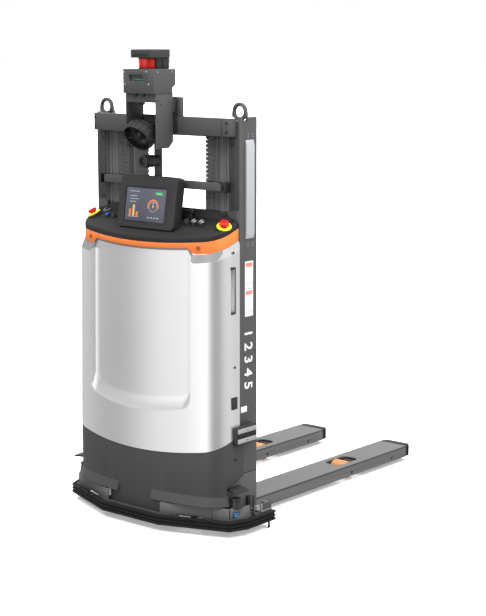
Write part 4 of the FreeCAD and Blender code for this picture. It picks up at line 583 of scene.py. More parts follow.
def prism(name, corners, rise, edge, segments=2):
    """A flat outline in millimetres, filled and extruded by rise, with rounded edges."""
    piece = traced(name, [at(*corner) for corner in corners])
    bpy.ops.mesh.edge_face_add()
    bpy.ops.mesh.extrude_region_move(TRANSFORM_OT_translate={"value": at(*rise)})
    return softened(outward(bake_place(close_mesh(piece))), edge, segments)


def pressed(name, across, up, place):
    """A grid whose points are set one by one, for a sheet with soft forms pressed into it."""
    deselect()
    bpy.ops.mesh.primitive_grid_add(x_subdivisions=across - 1, y_subdivisions=up - 1, size=2)
    piece = bpy.context.object
    piece.name = name
    for vertex in piece.data.vertices:
        column = round((vertex.co.x + 1) / 2 * (across - 1))
        row = round((vertex.co.y + 1) / 2 * (up - 1))
        vertex.co = place(column, row) * MM
    return outward(piece)


def mirrored(piece, name):
    twin = bpy.data.objects.new(name, piece.data.copy())
    bpy.context.scene.collection.objects.link(twin)
    return outward(placed(twin, Matrix.Diagonal((-1, 1, 1, 1))))


def joined(name, pieces):
    deselect()
    for piece in pieces:
        piece.select_set(True)
    bpy.context.view_layer.objects.active = pieces[0]
    if len(pieces) > 1:
        bpy.ops.object.join()
    pieces[0].name = name
    return pieces[0]


def fitted(name, pieces, node, finish, replaced=(), pair=False):
    """Joins pieces into one, together with its mirror image if it is one of a pair, on a CAD node's body."""
    whole = joined(name, pieces)
    if pair:
        whole = joined(name, [whole, mirrored(whole, name + "_left")])
    return settle(whole, HOME[node], paint(finish), replaced)


def carve(piece, tool):
    """Cuts the tool's shape out of the piece and throws the tool away."""
    modify(piece, "BOOLEAN", operation="DIFFERENCE", solver="EXACT", object=tool)
    bpy.data.objects.remove(tool)
    return piece


def screws(name, spots, axis, radius=5.0, height=2.5, socket=True):
    """Domed screw heads that stand on a surface, with a hexagon socket or plain."""
    dome = [(0, -0.5), (radius, -0.5), (radius, height * 0.45), (radius * 0.8, height * 0.85),
            (radius * 0.55, height), (0, height)]
    if socket:
        dome[-1:] = [(radius * 0.45, height), (radius * 0.42, height * 0.3), (0, height * 0.25)]
    return [lathe(name, dome, spot, axis, 18) for spot in spots]


def numeral(text, height, place):
    """A raised numeral, filled and made a mesh."""
    deselect()
    bpy.ops.object.text_add()
    words = bpy.context.object
    words.name = "numeral"
    words.data.body = text
    words.data.size = height
    words.data.extrude = 0.0004
    words.data.offset = 0.001
    bpy.ops.object.convert(target="MESH")
    return outward(placed(bpy.context.object, place))


# Stage --------------------------------------------------------------------------------------


class StackerOperator:
    bl_options = {"REGISTER", "UNDO"}


class STACKER_OT_stage(StackerOperator, bpy.types.Operator):
    """Sets up the pale floor, the soft lamps and the camera"""
    bl_idname = "stacker.stage"
    bl_label = "Stage"

    def execute(self, context):
        deselect()
        bpy.ops.mesh.primitive_grid_add(x_subdivisions=8, y_subdivisions=8, size=400)
        floor = context.object
        floor.name = "floor"
        finish = Finish("pale_floor")
        speck = finish.blended(finish.noise(finish.place(), 2.0), (0.84, 0.84, 0.84), (0.86, 0.86, 0.86))
        floor.data.materials.append(finish.done(speck, 0.9, glow=(1.0, 1.0, 1.0), glow_strength=0.3))
        floor.visible_diffuse = False
        floor.visible_glossy = False
        context.scene.world = bpy.data.worlds.new("studio")
        self.light(context.scene.world)
        given = view()
        back = Vector((math.sin(given.azimuth) * math.cos(given.elevation),
                       -math.cos(given.azimuth) * math.cos(given.elevation), math.sin(given.elevation)))
        bpy.ops.object.camera_add()
        camera = context.object
        camera.name = "view"
        camera.location = Vector((given.camera_side, 0.0, given.camera_height)) + back * given.camera_distance
        camera.rotation_euler = (-back).to_track_quat("-Z", "Y").to_euler()
        camera.data.sensor_width = 36.0
        camera.data.lens = given.focal_pixels * camera.data.sensor_width / IMAGE_HEIGHT
        camera.data.clip_end = 100.0
        context.scene.camera = camera
        context.scene.view_settings.view_transform = "Standard"
        return {"FINISHED"}

    def light(self, world):
        """Soft panels all round, in front of a white wall. The two lamps light all but the reflections."""
        sky = Finish("studio", world)
        across, along, up = sky.axes(sky.node("ShaderNodeTexCoord"))
        turn = across.maths("ARCTAN2", 0 - along) / math.tau + 0.5
        ring = sky.node("ShaderNodeValToRGB", None, [turn])
        marks = ring.socket.node.color_ramp.elements
        while len(marks) < len(PANELS):
            marks.new(0.5)
        for mark, (degrees, level) in zip(marks, PANELS):
            mark.position = (degrees + 180) / 360
            mark.color = (level, level, level, 1.0)
        shiny = sky.node("ShaderNodeLightPath", out=3)
        level = ring * (up.ramp(-0.9, 0.1) * 0.6 + 0.4) * (1.0 - up.ramp(0.1, 0.5) * shiny * 0.3)
        lamps = up.ramp(0.62, 0.80) * view().overhead + turn.between(0.667, 0.82) * view().right_hand
        level = level * (0.75 + shiny * 0.25) + lamps * (1.0 - shiny)
        bright = sky.node("ShaderNodeBackground", None, [level])
        white = sky.node("ShaderNodeBackground", None, [(1.0, 1.0, 1.0)])
        seen = sky.node("ShaderNodeLightPath")
        mixed = sky.node("ShaderNodeMixShader", None, [seen, bright, white])
        sky.node("ShaderNodeOutputWorld", None, [mixed])


class STACKER_OT_body(StackerOperator, bpy.types.Operator):
    """Rounds the skirt, the console top and the gear behind the cover and under the base"""
    bl_idname = "stacker.body"
    bl_label = "Skirt, console top and inner gear"

    def execute(self, context):
        ease_all(("base_skirt", 1.6, None, 3), ("console_cap", 1.6, "deck_plastic", 3), ("power_pack", 0.8),
                 ("drive_wheel", 0.8), ("drive_turret", 0.8), ("caster_fork_right", 0.8),
                 ("caster_fork_left", 0.8), ("caster_wheel_right", 0.8), ("caster_wheel_left", 0.8))
        return {"FINISHED"}


# Cover and trim -----------------------------------------------------------------------------

# The front is bowed on a large radius and runs round a corner into the side
FRONT_RADIUS = 1198
FRONT_MIDDLE = 413
CORNER_RADIUS = 119
CORNER_MIDDLE = (307, -621.4)
CORNER_START = math.radians(16.53)
COVER_SIDE = 426
# Behind this line the sheet turns in, so that it ends beside the upright
TURNED_IN = -598
# The long scooped panel: half its width, its depth, and the shape of its lower end
SCOOP_SIDE = 287
SCOOP_DEPTH = 22
SCOOP_CORNER = 40
SCOOP_FOOT = 500
RAMP_HEIGHT = 62
# The cover leans back by the first amount over the second, and its top is bevelled
LEAN = (13, 838)
BEVEL_DEPTH = 13.5
BEVEL_HEIGHT = 35
# Where the cover's top and the band lie behind the cover's foot
TOP_INSET = 26.5
BAND_INSET = 27


def share_of(amount, whole):
    """The part that amount is of the whole, held between 0 and 1."""
    return min(max(amount / whole, 0), 1)


def level_of(plane, y):
    return plane[0] + plane[1] * (y - REAR_EDGE)


def front_place(x):
    """A place on the bowed front, with its outward direction."""
    turn = math.asin(x / FRONT_RADIUS)
    return FRONT_RADIUS * math.sin(turn), FRONT_MIDDLE - FRONT_RADIUS * math.cos(turn), turn


def cover_plan():
    """Half of the cover's outline, from the middle of the front to its rear edge."""
    plan = [front_place(x) for x in (0, 40, 80, 120, 160, 200, 222, 237, 247, 252, 256, 261, 265, 269, 273,
                                     277, 280.5, 283.5, 284.6, 287, 288.2, 291, 298, 312, 330)]
    for step in range(15):
        turn = CORNER_START + (math.pi / 2 - CORNER_START) * step / 14
        plan.append((CORNER_MIDDLE[0] + CORNER_RADIUS * math.sin(turn),
                     CORNER_MIDDLE[1] - CORNER_RADIUS * math.cos(turn), turn))
    return plan + [(COVER_SIDE, y, math.pi / 2) for y in (-604, -597, -572.8)]


def cover_rows():
    """The rows of the cover's grid, measured from its foot, from the floor or from its top."""
    rows = [("low", step / 5) for step in range(5)]
    rows += [("fixed", z) for z in (455, 470, 484, 493, 498, 500, 501.5, *range(504, 608, 3))]
    rows += [("high", step / 9) for step in range(9)]
    return rows + [("top", drop) for drop in (37, 35.5, 34, 26, 18, 9, 1.5, 0.5, 0)]


HALF_PLAN = cover_plan()
PLAN = [(-x, y, -turn) for x, y, turn in reversed(HALF_PLAN[1:])] + HALF_PLAN
ROWS = cover_rows()
BEVEL_COLUMNS = [column for column, (x, y, turn) in enumerate(PLAN) if abs(turn) < 1.2]


def inward(column, inset, z):
    x, y, turn = PLAN[column]
    return Vector((x - inset * math.sin(turn), y + inset * math.cos(turn), z))


def tab_drop(x):
    """How far the trim band reaches down: a thin band in the middle, deep at the sides."""
    return 23 + 27 * share_of(abs(x) - 262, 36)


def scoop_rise(x):
    """How much higher the scoop's foot is at x than in the middle."""
    across = min(abs(x), SCOOP_SIDE)
    return 1.03 * (FRONT_RADIUS - math.sqrt(FRONT_RADIUS ** 2 - across ** 2))


def scoop_depth(x, z):
    """Depth of the long panel: steep sides, rounded lower corners and a ramp that fades out upwards."""
    within = SCOOP_SIDE - abs(x)
    side = 0.9 * share_of(within, 3.5) + 0.1 * (1 - (1 - share_of(within - 3.5, 26.5)) ** 2)
    corner = min(max(0.0, SCOOP_CORNER - within), SCOOP_CORNER)
    foot = SCOOP_FOOT + scoop_rise(x) + SCOOP_CORNER - math.sqrt(SCOOP_CORNER ** 2 - corner ** 2)
    return SCOOP_DEPTH * side * (1 - (1 - share_of(z - foot, RAMP_HEIGHT)) ** 2)


def cover_top(column):
    x, y, turn = PLAN[column]
    return level_of(TRIM, -573 if y > TURNED_IN else y + TOP_INSET * math.cos(turn)) - tab_drop(x)


def cover_point(column, row):
    x, y, turn = PLAN[column]
    top = cover_top(column)
    rise = scoop_rise(x)
    kind, amount = ROWS[row]
    if kind == "low":
        z = level_of(SEAM, y) * (1 - amount) + (448 + rise) * amount
    elif kind == "fixed":
        z = amount + rise
    elif kind == "high":
        z = 610 + rise + (top - 37 - 610 - rise) * amount
    else:
        z = top - amount
    return cover_surface(column, z, top)


def cover_surface(column, z, top, lift=0.0):
    x, y, turn = PLAN[column]
    depth = scoop_depth(x, z)
    bevel = share_of(BEVEL_HEIGHT - (top - z), BEVEL_HEIGHT) * BEVEL_DEPTH * (1 - depth / SCOOP_DEPTH)
    spot = inward(column, LEAN[0] * (z - SEAM[0]) / LEAN[1] + depth + bevel - lift, z)
    if y > TURNED_IN:
        out = abs(spot.x)
        last = y > -580
        spot.y = -572.8 if last else min(-573.4, REAR_EDGE - (out - 405) * 1.2)
        if last:
            spot.x = math.copysign(min(out, 405.5), x)
    return spot


def bevel_shade_point(column, row):
    """The sheet of painted shade just over the bevel under the band, in a darker silver: a thin line in the
    middle and a deep facet under each tab.
    """
    column = BEVEL_COLUMNS[column]
    x, y, turn = PLAN[column]
    top = cover_top(column)
    deep = share_of(abs(x) - 264, 26) * share_of(1.12 - abs(turn), 0.3)
    return cover_surface(column, top - 0.3 - (8 + 25.6 * deep) * row / 3, top, 0.5)


def trim_point(column, row):
    x, y, turn = PLAN[column]
    top = level_of(TRIM, y + BAND_INSET * math.cos(turn))
    drop = (0, 2, 4, tab_drop(x) - 2, tab_drop(x))[row]
    bulge = (1.5, 0.4, 0, 0, 0.8)[row]
    return inward(column, BAND_INSET + bulge, top - drop)


class STACKER_OT_cover(StackerOperator, bpy.types.Operator):
    """Presses the silver cover with its scooped panel, and the orange band above it"""
    bl_idname = "stacker.cover"
    bl_label = "Front cover"

    def execute(self, context):
        cover = self.sheet("front_cover_skin", len(PLAN), len(ROWS), cover_point, 4)
        for x in (COVER_SIDE, -COVER_SIDE):
            carve(cover, slab("handle_room", (x - 22, -641.6, 925.4), (x + 22, -614.4, 1120.6), 6, 3))
        fitted("front_cover_skin", [smooth(cover, 26)], "front_cover", "silver_paint",
               ["front_cover"])
        # A thin sheet of the darker silver over the bevel under the band: painted shade
        bevel = self.sheet("cover_bevel_shade", len(BEVEL_COLUMNS), 4, bevel_shade_point, 0.8)
        fitted("cover_bevel_shade", [smooth(bevel, 26)], "front_cover", "bevel_paint")
        band = self.sheet("trim_band_skin", len(PLAN), 5, trim_point, 4)
        fitted("trim_band_skin", [smooth(band, 26)], "trim_band", "orange_paint",
               ["trim_band"])
        cup = [(11, -1), (11, 1.2), (10, 1.6), (7.5, 1.2), (6.5, -2), (0, -2)]
        cups, heads = [], []
        for turn in (math.radians(15.2), -math.radians(15.2)):
            radius = FRONT_RADIUS - BAND_INSET
            y = FRONT_MIDDLE - radius * math.cos(turn)
            spot = Vector((radius * math.sin(turn), y, level_of(TRIM, y) - 25))
            out = Vector((math.sin(turn), -math.cos(turn), 0))
            cups.append(lathe("tab_cup", cup, spot, out))
            heads += screws("tab_screw", [spot - out * 1.5], out, 5.6, 2.4)
        # The cups take the darker orange: painted shade in their hollows
        fitted("tab_cups", cups, "trim_band", "deep_orange")
        fitted("tab_screws", heads, "trim_band", "black_steel")
        return {"FINISHED"}

    def sheet(self, name, across, up, place, thickness):
        """A pressed sheet. Being open it has no inside, so the middle of the front tells its outer face."""
        piece = pressed(name, across, up, place)
        front = max(piece.data.polygons, key=lambda face: -face.center.y)
        if front.normal.y > 0:
            open_mesh(piece)
            bpy.ops.mesh.flip_normals()
            close_mesh(piece)
        return modify(piece, "SOLIDIFY", thickness=thickness * MM, offset=-1.0)


# Console ------------------------------------------------------------------------------------


def deck(x, y=CONTROL_LINE):
    """A place on the console's sloping top, in millimetres."""
    return Vector((x, y, level_of(DECK, y)))


class STACKER_OT_console(StackerOperator, bpy.types.Operator):
    """Turns the stop buttons, key switch, knobs and push buttons of the console"""
    bl_idname = "stacker.console"
    bl_label = "Console controls"

    def execute(self, context):
        disc = [(13.5, 0.2), (30.5, 0.2), (31, 1), (31, 4), (28.5, 7.4), (27.5, 8), (22.6, 8), (22, 7.4),
                (21.8, 3.4), (13.5, 3.4), (13.5, 0.2)]
        mushroom = [(0, 0.4), (12.6, 0.4), (12.8, 11), (18.5, 13.2), (20, 15.6), (20, 20.5), (18.6, 23.6),
                    (15, 25.6), (11, 26.4), (10.4, 26.0), (0, 26.4)]
        discs = []
        for side, node in ((1, "stop_button_right"), (-1, "stop_button_left")):
            axis = Vector((side * 0.34, -0.33, math.sqrt(1 - 0.34 ** 2 - 0.33 ** 2)))
            foot = Vector((side * 371, -630, 1281))
            discs.append(lathe("stop_disc", disc, foot, axis, 48))
            head = lathe("head", mushroom, foot, axis, 48)
            fitted(node + "_mushroom", [head], node, "red_plastic", [node])
        fitted("stop_discs", discs, "stop_collars", "yellow_plastic", ["stop_collars"])
        rings = [lathe("button_bezel", [(9.8, 0.1), (14, 0.1), (14.2, 1.2), (13.6, 4), (12.6, 8.2), (12, 9),
                                        (10.6, 9), (10, 8.4), (9.8, 0.1)], deck(x), DECK_OUT, 36)
                 for x in (170, 210, 252, -290)]
        fitted("button_bezels", rings, "control_bezels", "black_gloss", ["control_bezels"])
        lamp = lathe("lamp_button", [(0, 0.1), (14, 0.1), (14.2, 1.2), (13.6, 5), (12.4, 5.6), (11.6, 7.5),
                                     (9.5, 11.5), (5, 13.4), (0, 13.8)], deck(-250), DECK_OUT, 36)
        fitted("lamp_button", [lamp], "control_bezels", "black_gloss")
        self.knob("selector_inner", 210, "black_gloss", "black_plastic")
        self.knob("selector_outer", 252, "black_gloss", "black_plastic")
        self.knob("key_switch", 170, "dark_steel", "steel")
        push = lathe("blue_cap", [(0, 4.6), (9.4, 4.6), (9.4, 10.5), (8.8, 12.2), (6.5, 12.9), (0, 13.1)],
                     deck(-290), DECK_OUT)
        fitted("blue_cap", [push], "reset_button", "blue_plastic", ["reset_button"])
        self.fixed_parts()
        return {"FINISHED"}

    def knob(self, node, x, finish, slot):
        """A drum with a bar to turn it by. A selector's bar has a grey mark on top."""
        place = stood(deck(x), DECK_OUT)
        drum = lathe("drum", [(0, 0.3), (11.4, 0.3), (11.6, 9.4), (13, 9.6), (13, 14.4), (12.2, 15.6),
                              (0, 15.8)], deck(x), DECK_OUT, 36)
        bar = placed(slab("bar", (-4.4, -12, 13), (4.4, 12, 22), 1.8, 3), place)
        fitted(node + "_grip", [drum, bar], node, finish, [node])
        if slot == "steel":
            return
        mark = [slab("ridge", (-3.6, -11, 16), (3.6, 11, 22.8), 1.2, 3),
                lathe("top", [(0, 15.4), (12, 15.4), (12.2, 16.4), (11.4, 17.4), (0, 17.8)], (0, 0, 0))]
        fitted(node + "_mark", [placed(joined("mark", mark), place)], node, "knob_grey")

    def fixed_parts(self):
        ring = lathe("cable_ring", [(10, 0.1), (16, 0.1), (17, 1), (17, 7), (15.5, 9), (12, 9), (10.5, 8),
                                    (10, 0.1)], deck(-336, -584), DECK_OUT, 36)
        fitted("cable_ring", [ring], "console_cap", "lifter_grey")
        boxes = [slab("lever_base", (122, -602, 1285), (168, -584, 1318), 4, 3),
                 prism("lever_hood", [(120, -581, 1314), (170, -581, 1314), (174, -581, 1322),
                                      (167, -581, 1337), (122, -581, 1330)], (0, -20, 0), 3, 3),
                 slab("foot_stub", (-196, -668, 1262), (-168, -640, 1300), 4, 3)]
        fitted("console_boxes", boxes, "console_cap", "black_gloss")
        heads = screws("lip_screw", [(-380, -582.5, 1308), (-330, -582.5, 1318), (330, -582.5, 1318),
                                     (380, -582.5, 1308)], FRONT, 3.5, 1.6)
        fitted("lip_screws", heads, "console_cap", "black_steel")


class STACKER_OT_screen(StackerOperator, bpy.types.Operator):
    """Makes the leaning touch screen: its case with a stepped rim, and its lit glass"""
    bl_idname = "stacker.screen"
    bl_label = "Touch screen"

    def execute(self, context):
        ease_all(("screen_case", 2.2, None, 3), ("screen_glass", 0.4, "screen_picture"))
        lean = Matrix((Vector(RIGHT), SCREEN_UP, SCREEN_OUT)).transposed().to_4x4()
        rim = carve(slab("screen_rim", (-127, -75, -1.5), (109, 75, 1.1), 0.9),
                    slab("screen_rim_room", (-124.6, -72.6, -9), (106.6, 72.6, 9), 0.4))
        rim = placed(rim, Matrix.Translation((SCREEN_MIDDLE + SCREEN_OUT * 0.1) * MM) @ lean)
        fitted("screen_rim", [rim], "screen_case", "black_gloss")
        return {"FINISHED"}


# Tower --------------------------------------------------------------------------------------


class STACKER_OT_tower(StackerOperator, bpy.types.Operator):
    """Makes the lidar, the sensor box's fittings, the bell and the camera of the tower"""
    bl_idname = "stacker.tower"
    bl_label = "Navigation tower"

    def execute(self, context):
        self.lidar()
        self.sensor_box()
        self.bell()
        self.camera()
        lines = slabs("bracket_groove", 0.6, ((92, -620.4, 1640), (97, -618, 1790)),
                      ((104, -620.4, 1640), (107, -618, 1790)))
        lines += slabs("tower_clip", 1.2, *[((-84, -640, z), (-78, -612, z + 10)) for z in (1700, 1760)])
        fitted("bracket_lines", lines, "tower_frame", "black_gloss")
        return {"FINISHED"}

    def lidar(self):
        ease_all(("lidar_roof", 1.6, None, 3), ("lidar_body", 0.6))
        glass = lathe("lidar_glass", [(0, 1912), (37, 1912), (38.4, 1914), (38.4, 1952.6), (37, 1954.6),
                                      (0, 1954.6)], LIDAR, steps=64)
        fitted("lidar_glass", [glass], "lidar_window", "lidar_red", ["lidar_window"])
        lips = [lathe("lidar_lip", [(34, z), (40.6, z), (41.2, z + 0.8), (41.2, z + 2.2), (40.6, z + 3),
                                    (34, z + 3), (34, z)], LIDAR, steps=48) for z in (1911.6, 1953.4)]
        lips += slabs("lidar_rib", 0.8, *[((-46 + step * 10.2, -640, 1914), (-42 + step * 10.2, -600.4, 1955))
                                          for step in range(10)])
        fitted("lidar_lips", lips, "lidar_body", "black_gloss")

    def sensor_box(self):
        ease_all(("tower_box", 1.4, None, 3), ("tower_frame", 1.0))
        heads = screws("box_screw", [(-80, -735, 1898), (46, -735, 1900), (-76, -735, 1850),
                                     (58, -735, 1850)], FRONT, 4.2, 1.8)
        heads += screws("box_screw", [(87, -712, 1899), (87, -625, 1899)], RIGHT, 3.6, 1.6)
        fitted("box_screws", heads, "tower_box", "pale_steel")
        heads = screws("plate_screw", [(85, -711, 1784), (85, -693, 1768), (85, -711, 1700),
                                       (85, -650, 1640)], RIGHT, 3.2, 1.4)
        fitted("plate_screws", heads, "tower_frame", "black_steel")
        board = slab("board_edge", (-30, -728, 1866.5), (27, -706, 1870), 0.6)
        fitted("board_edge", [board], "tower_box", "board_green")
        plugs = slabs("box_plug", 2.4, *[((x - 14, -731, 1806), (x + 12, -712, 1817)) for x in (-30, 14)],
                      segments=3)
        plugs += [lathe("plug_collar", [(0, 0), (8, 0), (8.4, 1), (8.4, 7), (7, 8), (0, 8)], (x, -722, 1800),
                        steps=20) for x in (-30, 14)]
        fitted("box_plugs", plugs, "tower_box", "black_gloss")

    def bell(self):
        """A bell that looks forwards and down, with ribs outside and a cross of bars in its mouth."""
        lean = math.radians(52)
        axis = Vector((0, -math.sin(lean), -math.cos(lean)))
        mouth = Vector((0, -748, 1628))
        shell = [(0, -72), (20, -71.4), (34, -69), (50, -62), (58, -54.5), (63.5, -44), (66, -30), (66, -12),
                 (65.4, -3), (64, -0.6), (62, 0), (60, -1), (60, -12), (56, -26), (44, -40), (20, -48),
                 (0, -50)]
        hub = [(0, -48), (26, -46), (28, -32), (20, -14), (10, -6), (0, -5)]
        rib = [(31, -72), (52, -64.6), (60.5, -56.5), (66, -45), (68.8, -30), (68.8, -9), (66.4, -4),
               (62, -5), (62, -28), (56, -48), (30, -66)]
        pieces = [lathe("bell_shell", shell, mouth, axis, 64), lathe("bell_hub", hub, mouth, axis)]
        for step in range(18):
            spoke = Matrix.Rotation(math.tau * step / 18, 3, axis) @ axis.orthogonal().normalized()
            across = axis.cross(spoke)
            corners = [mouth + spoke * radius + axis * height - across * 1.8 for radius, height in rib]
            pieces.append(prism("bell_rib", corners, across * 3.6, 0.8))
        for x, y in ((60, 2.4), (2.4, 60)):
            pieces.append(placed(slab("bell_bar", (-x, -y, -10), (x, y, -4), 1.4), stood(mouth, axis)))
        pieces.append(slab("bell_foot", (-16, -704, 1655), (16, -622.5, 1681), 3, 3))
        fitted("bell", pieces, "warning_lamp", "black_gloss", ["warning_lamp"])

    def camera(self):
        front = (0, -715, 1532)
        barrel = [(0, -91), (21, -91), (23, -89), (23, -60), (26, -58), (26.4, -56), (26.4, -14), (24.6, -12),
                  (24.6, -9), (26.4, -7), (26.4, -1.5), (25, -0.2), (21.5, -0.2), (20.5, -1.5), (19.4, -6),
                  (16.4, -6.4), (15.6, -3), (12.6, -2.6), (11.6, -5), (0, -6)]
        ring = [(19, -1.5), (24.4, -1.5), (24.6, -0.4), (23.6, 0.4), (20, 0.4), (19, -0.6), (19, -1.5)]
        lens = [(11.7, -5.4), (9.5, -3.6), (6, -2.6), (0, -2.2)]
        fitted("camera_barrel", [lathe("barrel", barrel, front, FRONT, 48)], "camera_body", "black_gloss",
               ["camera_body"])
        fitted("camera_ring", [lathe("ring", ring, front, FRONT, 48)], "camera_body", "dark_steel")
        fitted("camera_lens", [lathe("lens", lens, front, FRONT)], "camera_body", "lens_glass")


# Mast, sides, foot and forks ----------------------------------------------------------------


class STACKER_OT_mast(StackerOperator, bpy.types.Operator):
    """Rounds the rails and the lifting gear, and adds bolts, dark strips of painted shade along the rails, and
    cables between the uprights
    """
    bl_idname = "stacker.mast"
    bl_label = "Mast"

    def execute(self, context):
        ease_all(("mast_rails", 1.2, "rail_paint"), ("inner_mast_rails", 1.2, "rail_paint"),
                 ("mast_crosshead", 1.4, "upright_paint"), ("carriage_frame", 1.4, "upright_paint"),
                 ("lift_cylinders", 1.4, "upright_paint"), ("top_beam", 1.4, "upright_paint"),
                 ("piston_rods", 0.6, "dark_steel"), ("chain_sheaves", 0.8, "dark_steel"),
                 ("lifting_eyes", 0.8, "upright_paint"), ("guard_panel", 0.4))
        for node in ("chain_fixed_run", "chain_lifting_run"):
            repainted(node, "chain_links")
        bolts = screws("rail_bolt", [(366, -572, z) for z in (1608, 1360, 1180, 980, 780, 560)], FRONT, 5, 3)
        bolts += screws("rail_bolt", [(372, -615, z) for z in (1663, 1700)], FRONT, 5.5, 3)
        fitted("rail_bolts", bolts, "columns", "black_steel", pair=True)
        # Black strips down the rails and the upright's front, where the rails' channels show dark bands:
        # painted shade
        strips = slabs("rail_shade_strip", 0.8, ((352.5, -575.5, 1340), (357, -572, 1640)),
                       ((323, -563, 1200), (327, -559.6, 1690)), ((341, -563, 1200), (346, -559.6, 1690)))
        fitted("rail_shade_strips", strips, "mast_rails", "black_gloss", pair=True)
        bar = slabs("bar_tube", 1.6, ((-333, -606, 1421), (333, -588, 1455)), segments=3)
        bar += slabs("bar_foot", 1.6, *[((x - 12, -590, 1426), (x + 12, -574.6, 1450)) for x in (-333, 333)])
        fitted("bar_across", bar, "cross_bar", "upright_paint", ["cross_bar"])
        clips = slabs("bar_clip", 0.8, ((323, -608, 1456.5), (354.5, -600, 1460)),
                      ((323, -608, 1416), (354.5, -600, 1419.5)),
                      ((351, -608, 1416.5), (354.5, -575, 1459.5)))
        fitted("bar_clips", clips, "cross_bar", "black_gloss", pair=True)
        self.cables()
        seam = slab("beam_seam", (343.5, -615.7, 1646), (345.6, -614, 1716), 0.3)
        fitted("beam_seam", [seam], "top_beam", "nose_black")
        # A dark plate on the front of each upright's flange, below the beam: painted shade
        flange = slab("flange_shade", (353, -573.2, 1345), (402, -571.8, 1640), 0.5)
        fitted("flange_shades", [flange], "columns", "dark_paint", pair=True)
        return {"FINISHED"}

    def cables(self):
        """Chains of links for cables and hoses in front of the cylinders, each with a dark strip."""
        run = self.links(218, 258) + [slab("cable_strip", (261, -567.5, 560), (287, -563, 1650), 1.0),
                                      slab("cable_bracket", (246, -571.5, 1650), (274, -563, 1662), 1.2)]
        fitted("cable_runs", run, "mast_rails", "black_plastic", pair=True)
        run = self.links(-158, -104) + [slab("hose_bracket", (-158, -571.5, 1650), (-104, -563, 1662), 1.2),
                                        slab("hose_back", (-186, -566, 560), (-110, -563.4, 1650), 0.6)]
        fitted("hose_run", run, "mast_rails", "black_plastic")

    def links(self, left, right):
        link = slab("link", (left, -568, 560), (right, -563.4, 575), 1.4)
        return [modify(link, "ARRAY", count=62, use_relative_offset=False, use_constant_offset=True,
                       constant_offset_displace=(0.0, 0.0, 17.5 * MM))]


class STACKER_OT_sides(StackerOperator, bpy.types.Operator):
    """Makes the lamps, plates, numerals, handles, port and charging contacts on the uprights' sides"""
    bl_idname = "stacker.sides"
    bl_label = "Side fittings"

    def execute(self, context):
        eased("columns", 1.6, "upright_paint")
        lamp = prism("lamp", [(404.6, -537, 1225), (408, -537, 1226), (413.4, -537, 1250),
                              (413.4, -537, 1606), (408, -537, 1629), (404.6, -537, 1630)], (0, 51, 0), 1.6, 3)
        fitted("status_lamp_covers", [lamp], "status_lamps", "lamp_cover",
               ["status_lamps"], True)
        ease_all(("cover_screws", 0.6, "black_steel"), ("handle_cups", 1.0, "cup_metal"))
        heads = screws("lamp_screw", [(405, y, z) for z in (1652, 1641, 1206, 1195) for y in (-519, -490)],
                       RIGHT, 2.6, 1.2, False)
        fitted("lamp_screws", heads, "columns", "pale_steel", pair=True)
        # A black rim just round each lamp cover: painted shade for the gap round the lamp
        shadow_gap = slab("lamp_shadow_gap", (404.5, -537.5, 1224), (406.0, -486.5, 1632), 0.8)
        fitted("lamp_shadow_gaps", [shadow_gap], "columns", "black_gloss", pair=True)
        plates = slabs("name_plate", 0.35, ((404.8, -539, 1018), (405.7, -487, 1132)),
                       ((404.8, -539, 902), (405.7, -487, 1016)))
        plates += slabs("small_plate", 0.5, ((404.8, -565, 500), (406.0, -527, 525)))
        fitted("blank_plates", plates, "columns", "blank_plate", pair=True)
        self.numbers("right", 405.1, -540, Matrix(((0, 0, 1), (0, 1, 0), (-1, 0, 0))))
        self.numbers("left", -405.1, -491, Matrix(((0, 0, -1), (0, -1, 0), (-1, 0, 0))))
        port = [slab("port_cover", (421, -644, 531), (426, -611, 579), 1.2, 3),
                slab("port_frame", (420, -646, 529), (424.9, -609, 581), 1.2)]
        fitted("port_covers", port, "front_cover", "black_gloss")
        # Black ends and a black strip on the rear wall of each handle recess: painted shade
        ends = slabs("cup_end_shade", 1.4, *[((398, -641, z), (420.6, -615, z + 9)) for z in (925.6, 1111.4)])
        ends += slabs("cup_back_shade", 0.6, ((417, -616.8, 930), (420.5, -614.6, 1117)))
        fitted("cup_end_shades", ends, "handle_cups", "black_gloss", pair=True)
        self.charging()
        return {"FINISHED"}

    def numbers(self, side, x, y, turn):
        """Plain numerals down the upright, one below another like a scale."""
        signs = [numeral(digit, 0.070, Matrix.Translation(at(x, y, 848 - 55 * step)) @ turn.to_4x4())
                 for step, digit in enumerate("12345")]
        fitted("scale_numerals_" + side, signs, "columns", "white_print")

    def charging(self):
        block = slab("charge_block", (404.6, -640, 379), (446, -508, 455), 4, 3)
        fitted("charge_block", [block], "charge_housing", "black_plastic",
               ["charge_housing"])
        strips = slabs("contact_strip", 1.6, ((444, -634, 386), (450, -514, 406)),
                       ((444, -634, 428), (450, -514, 448)), segments=3)
        fitted("contact_strips", strips, "charge_contacts", "contact_metal",
               ["charge_contacts"])
        small = slabs("charge_groove", 1.2, ((445, -632, 408.5), (448, -516, 425.5)))
        small += screws("charge_screw", [(447.8, -600, 417), (447.8, -548, 417)], RIGHT, 5, 1.4)
        small += [lathe("contact_hole", [(0, 0.1), (3.2, 0.1), (3.4, 0.4), (2.4, 0.6), (0, 0.4)],
                        (449.6, -574, z), RIGHT, 20) for z in (396, 438)]
        fitted("charge_fittings", small, "charge_housing", "black_steel")


def lip_plan():
    """The line along which the skirt's lower lip flares out, on the right-hand side."""
    plan = [front_place(x) for x in (95, 95.6, 110, 140, 180, 220, 260, 300, 330)]
    return plan + [point for point in HALF_PLAN if 331 < point[0] and point[2] < 1.35]


LIP_PLAN = lip_plan()
LIP_ROWS = ((-1.5, 168), (0.5, 164), (10.5, 130), (12, 126), (11.4, 123.4), (9, 122.4), (-1.5, 122))


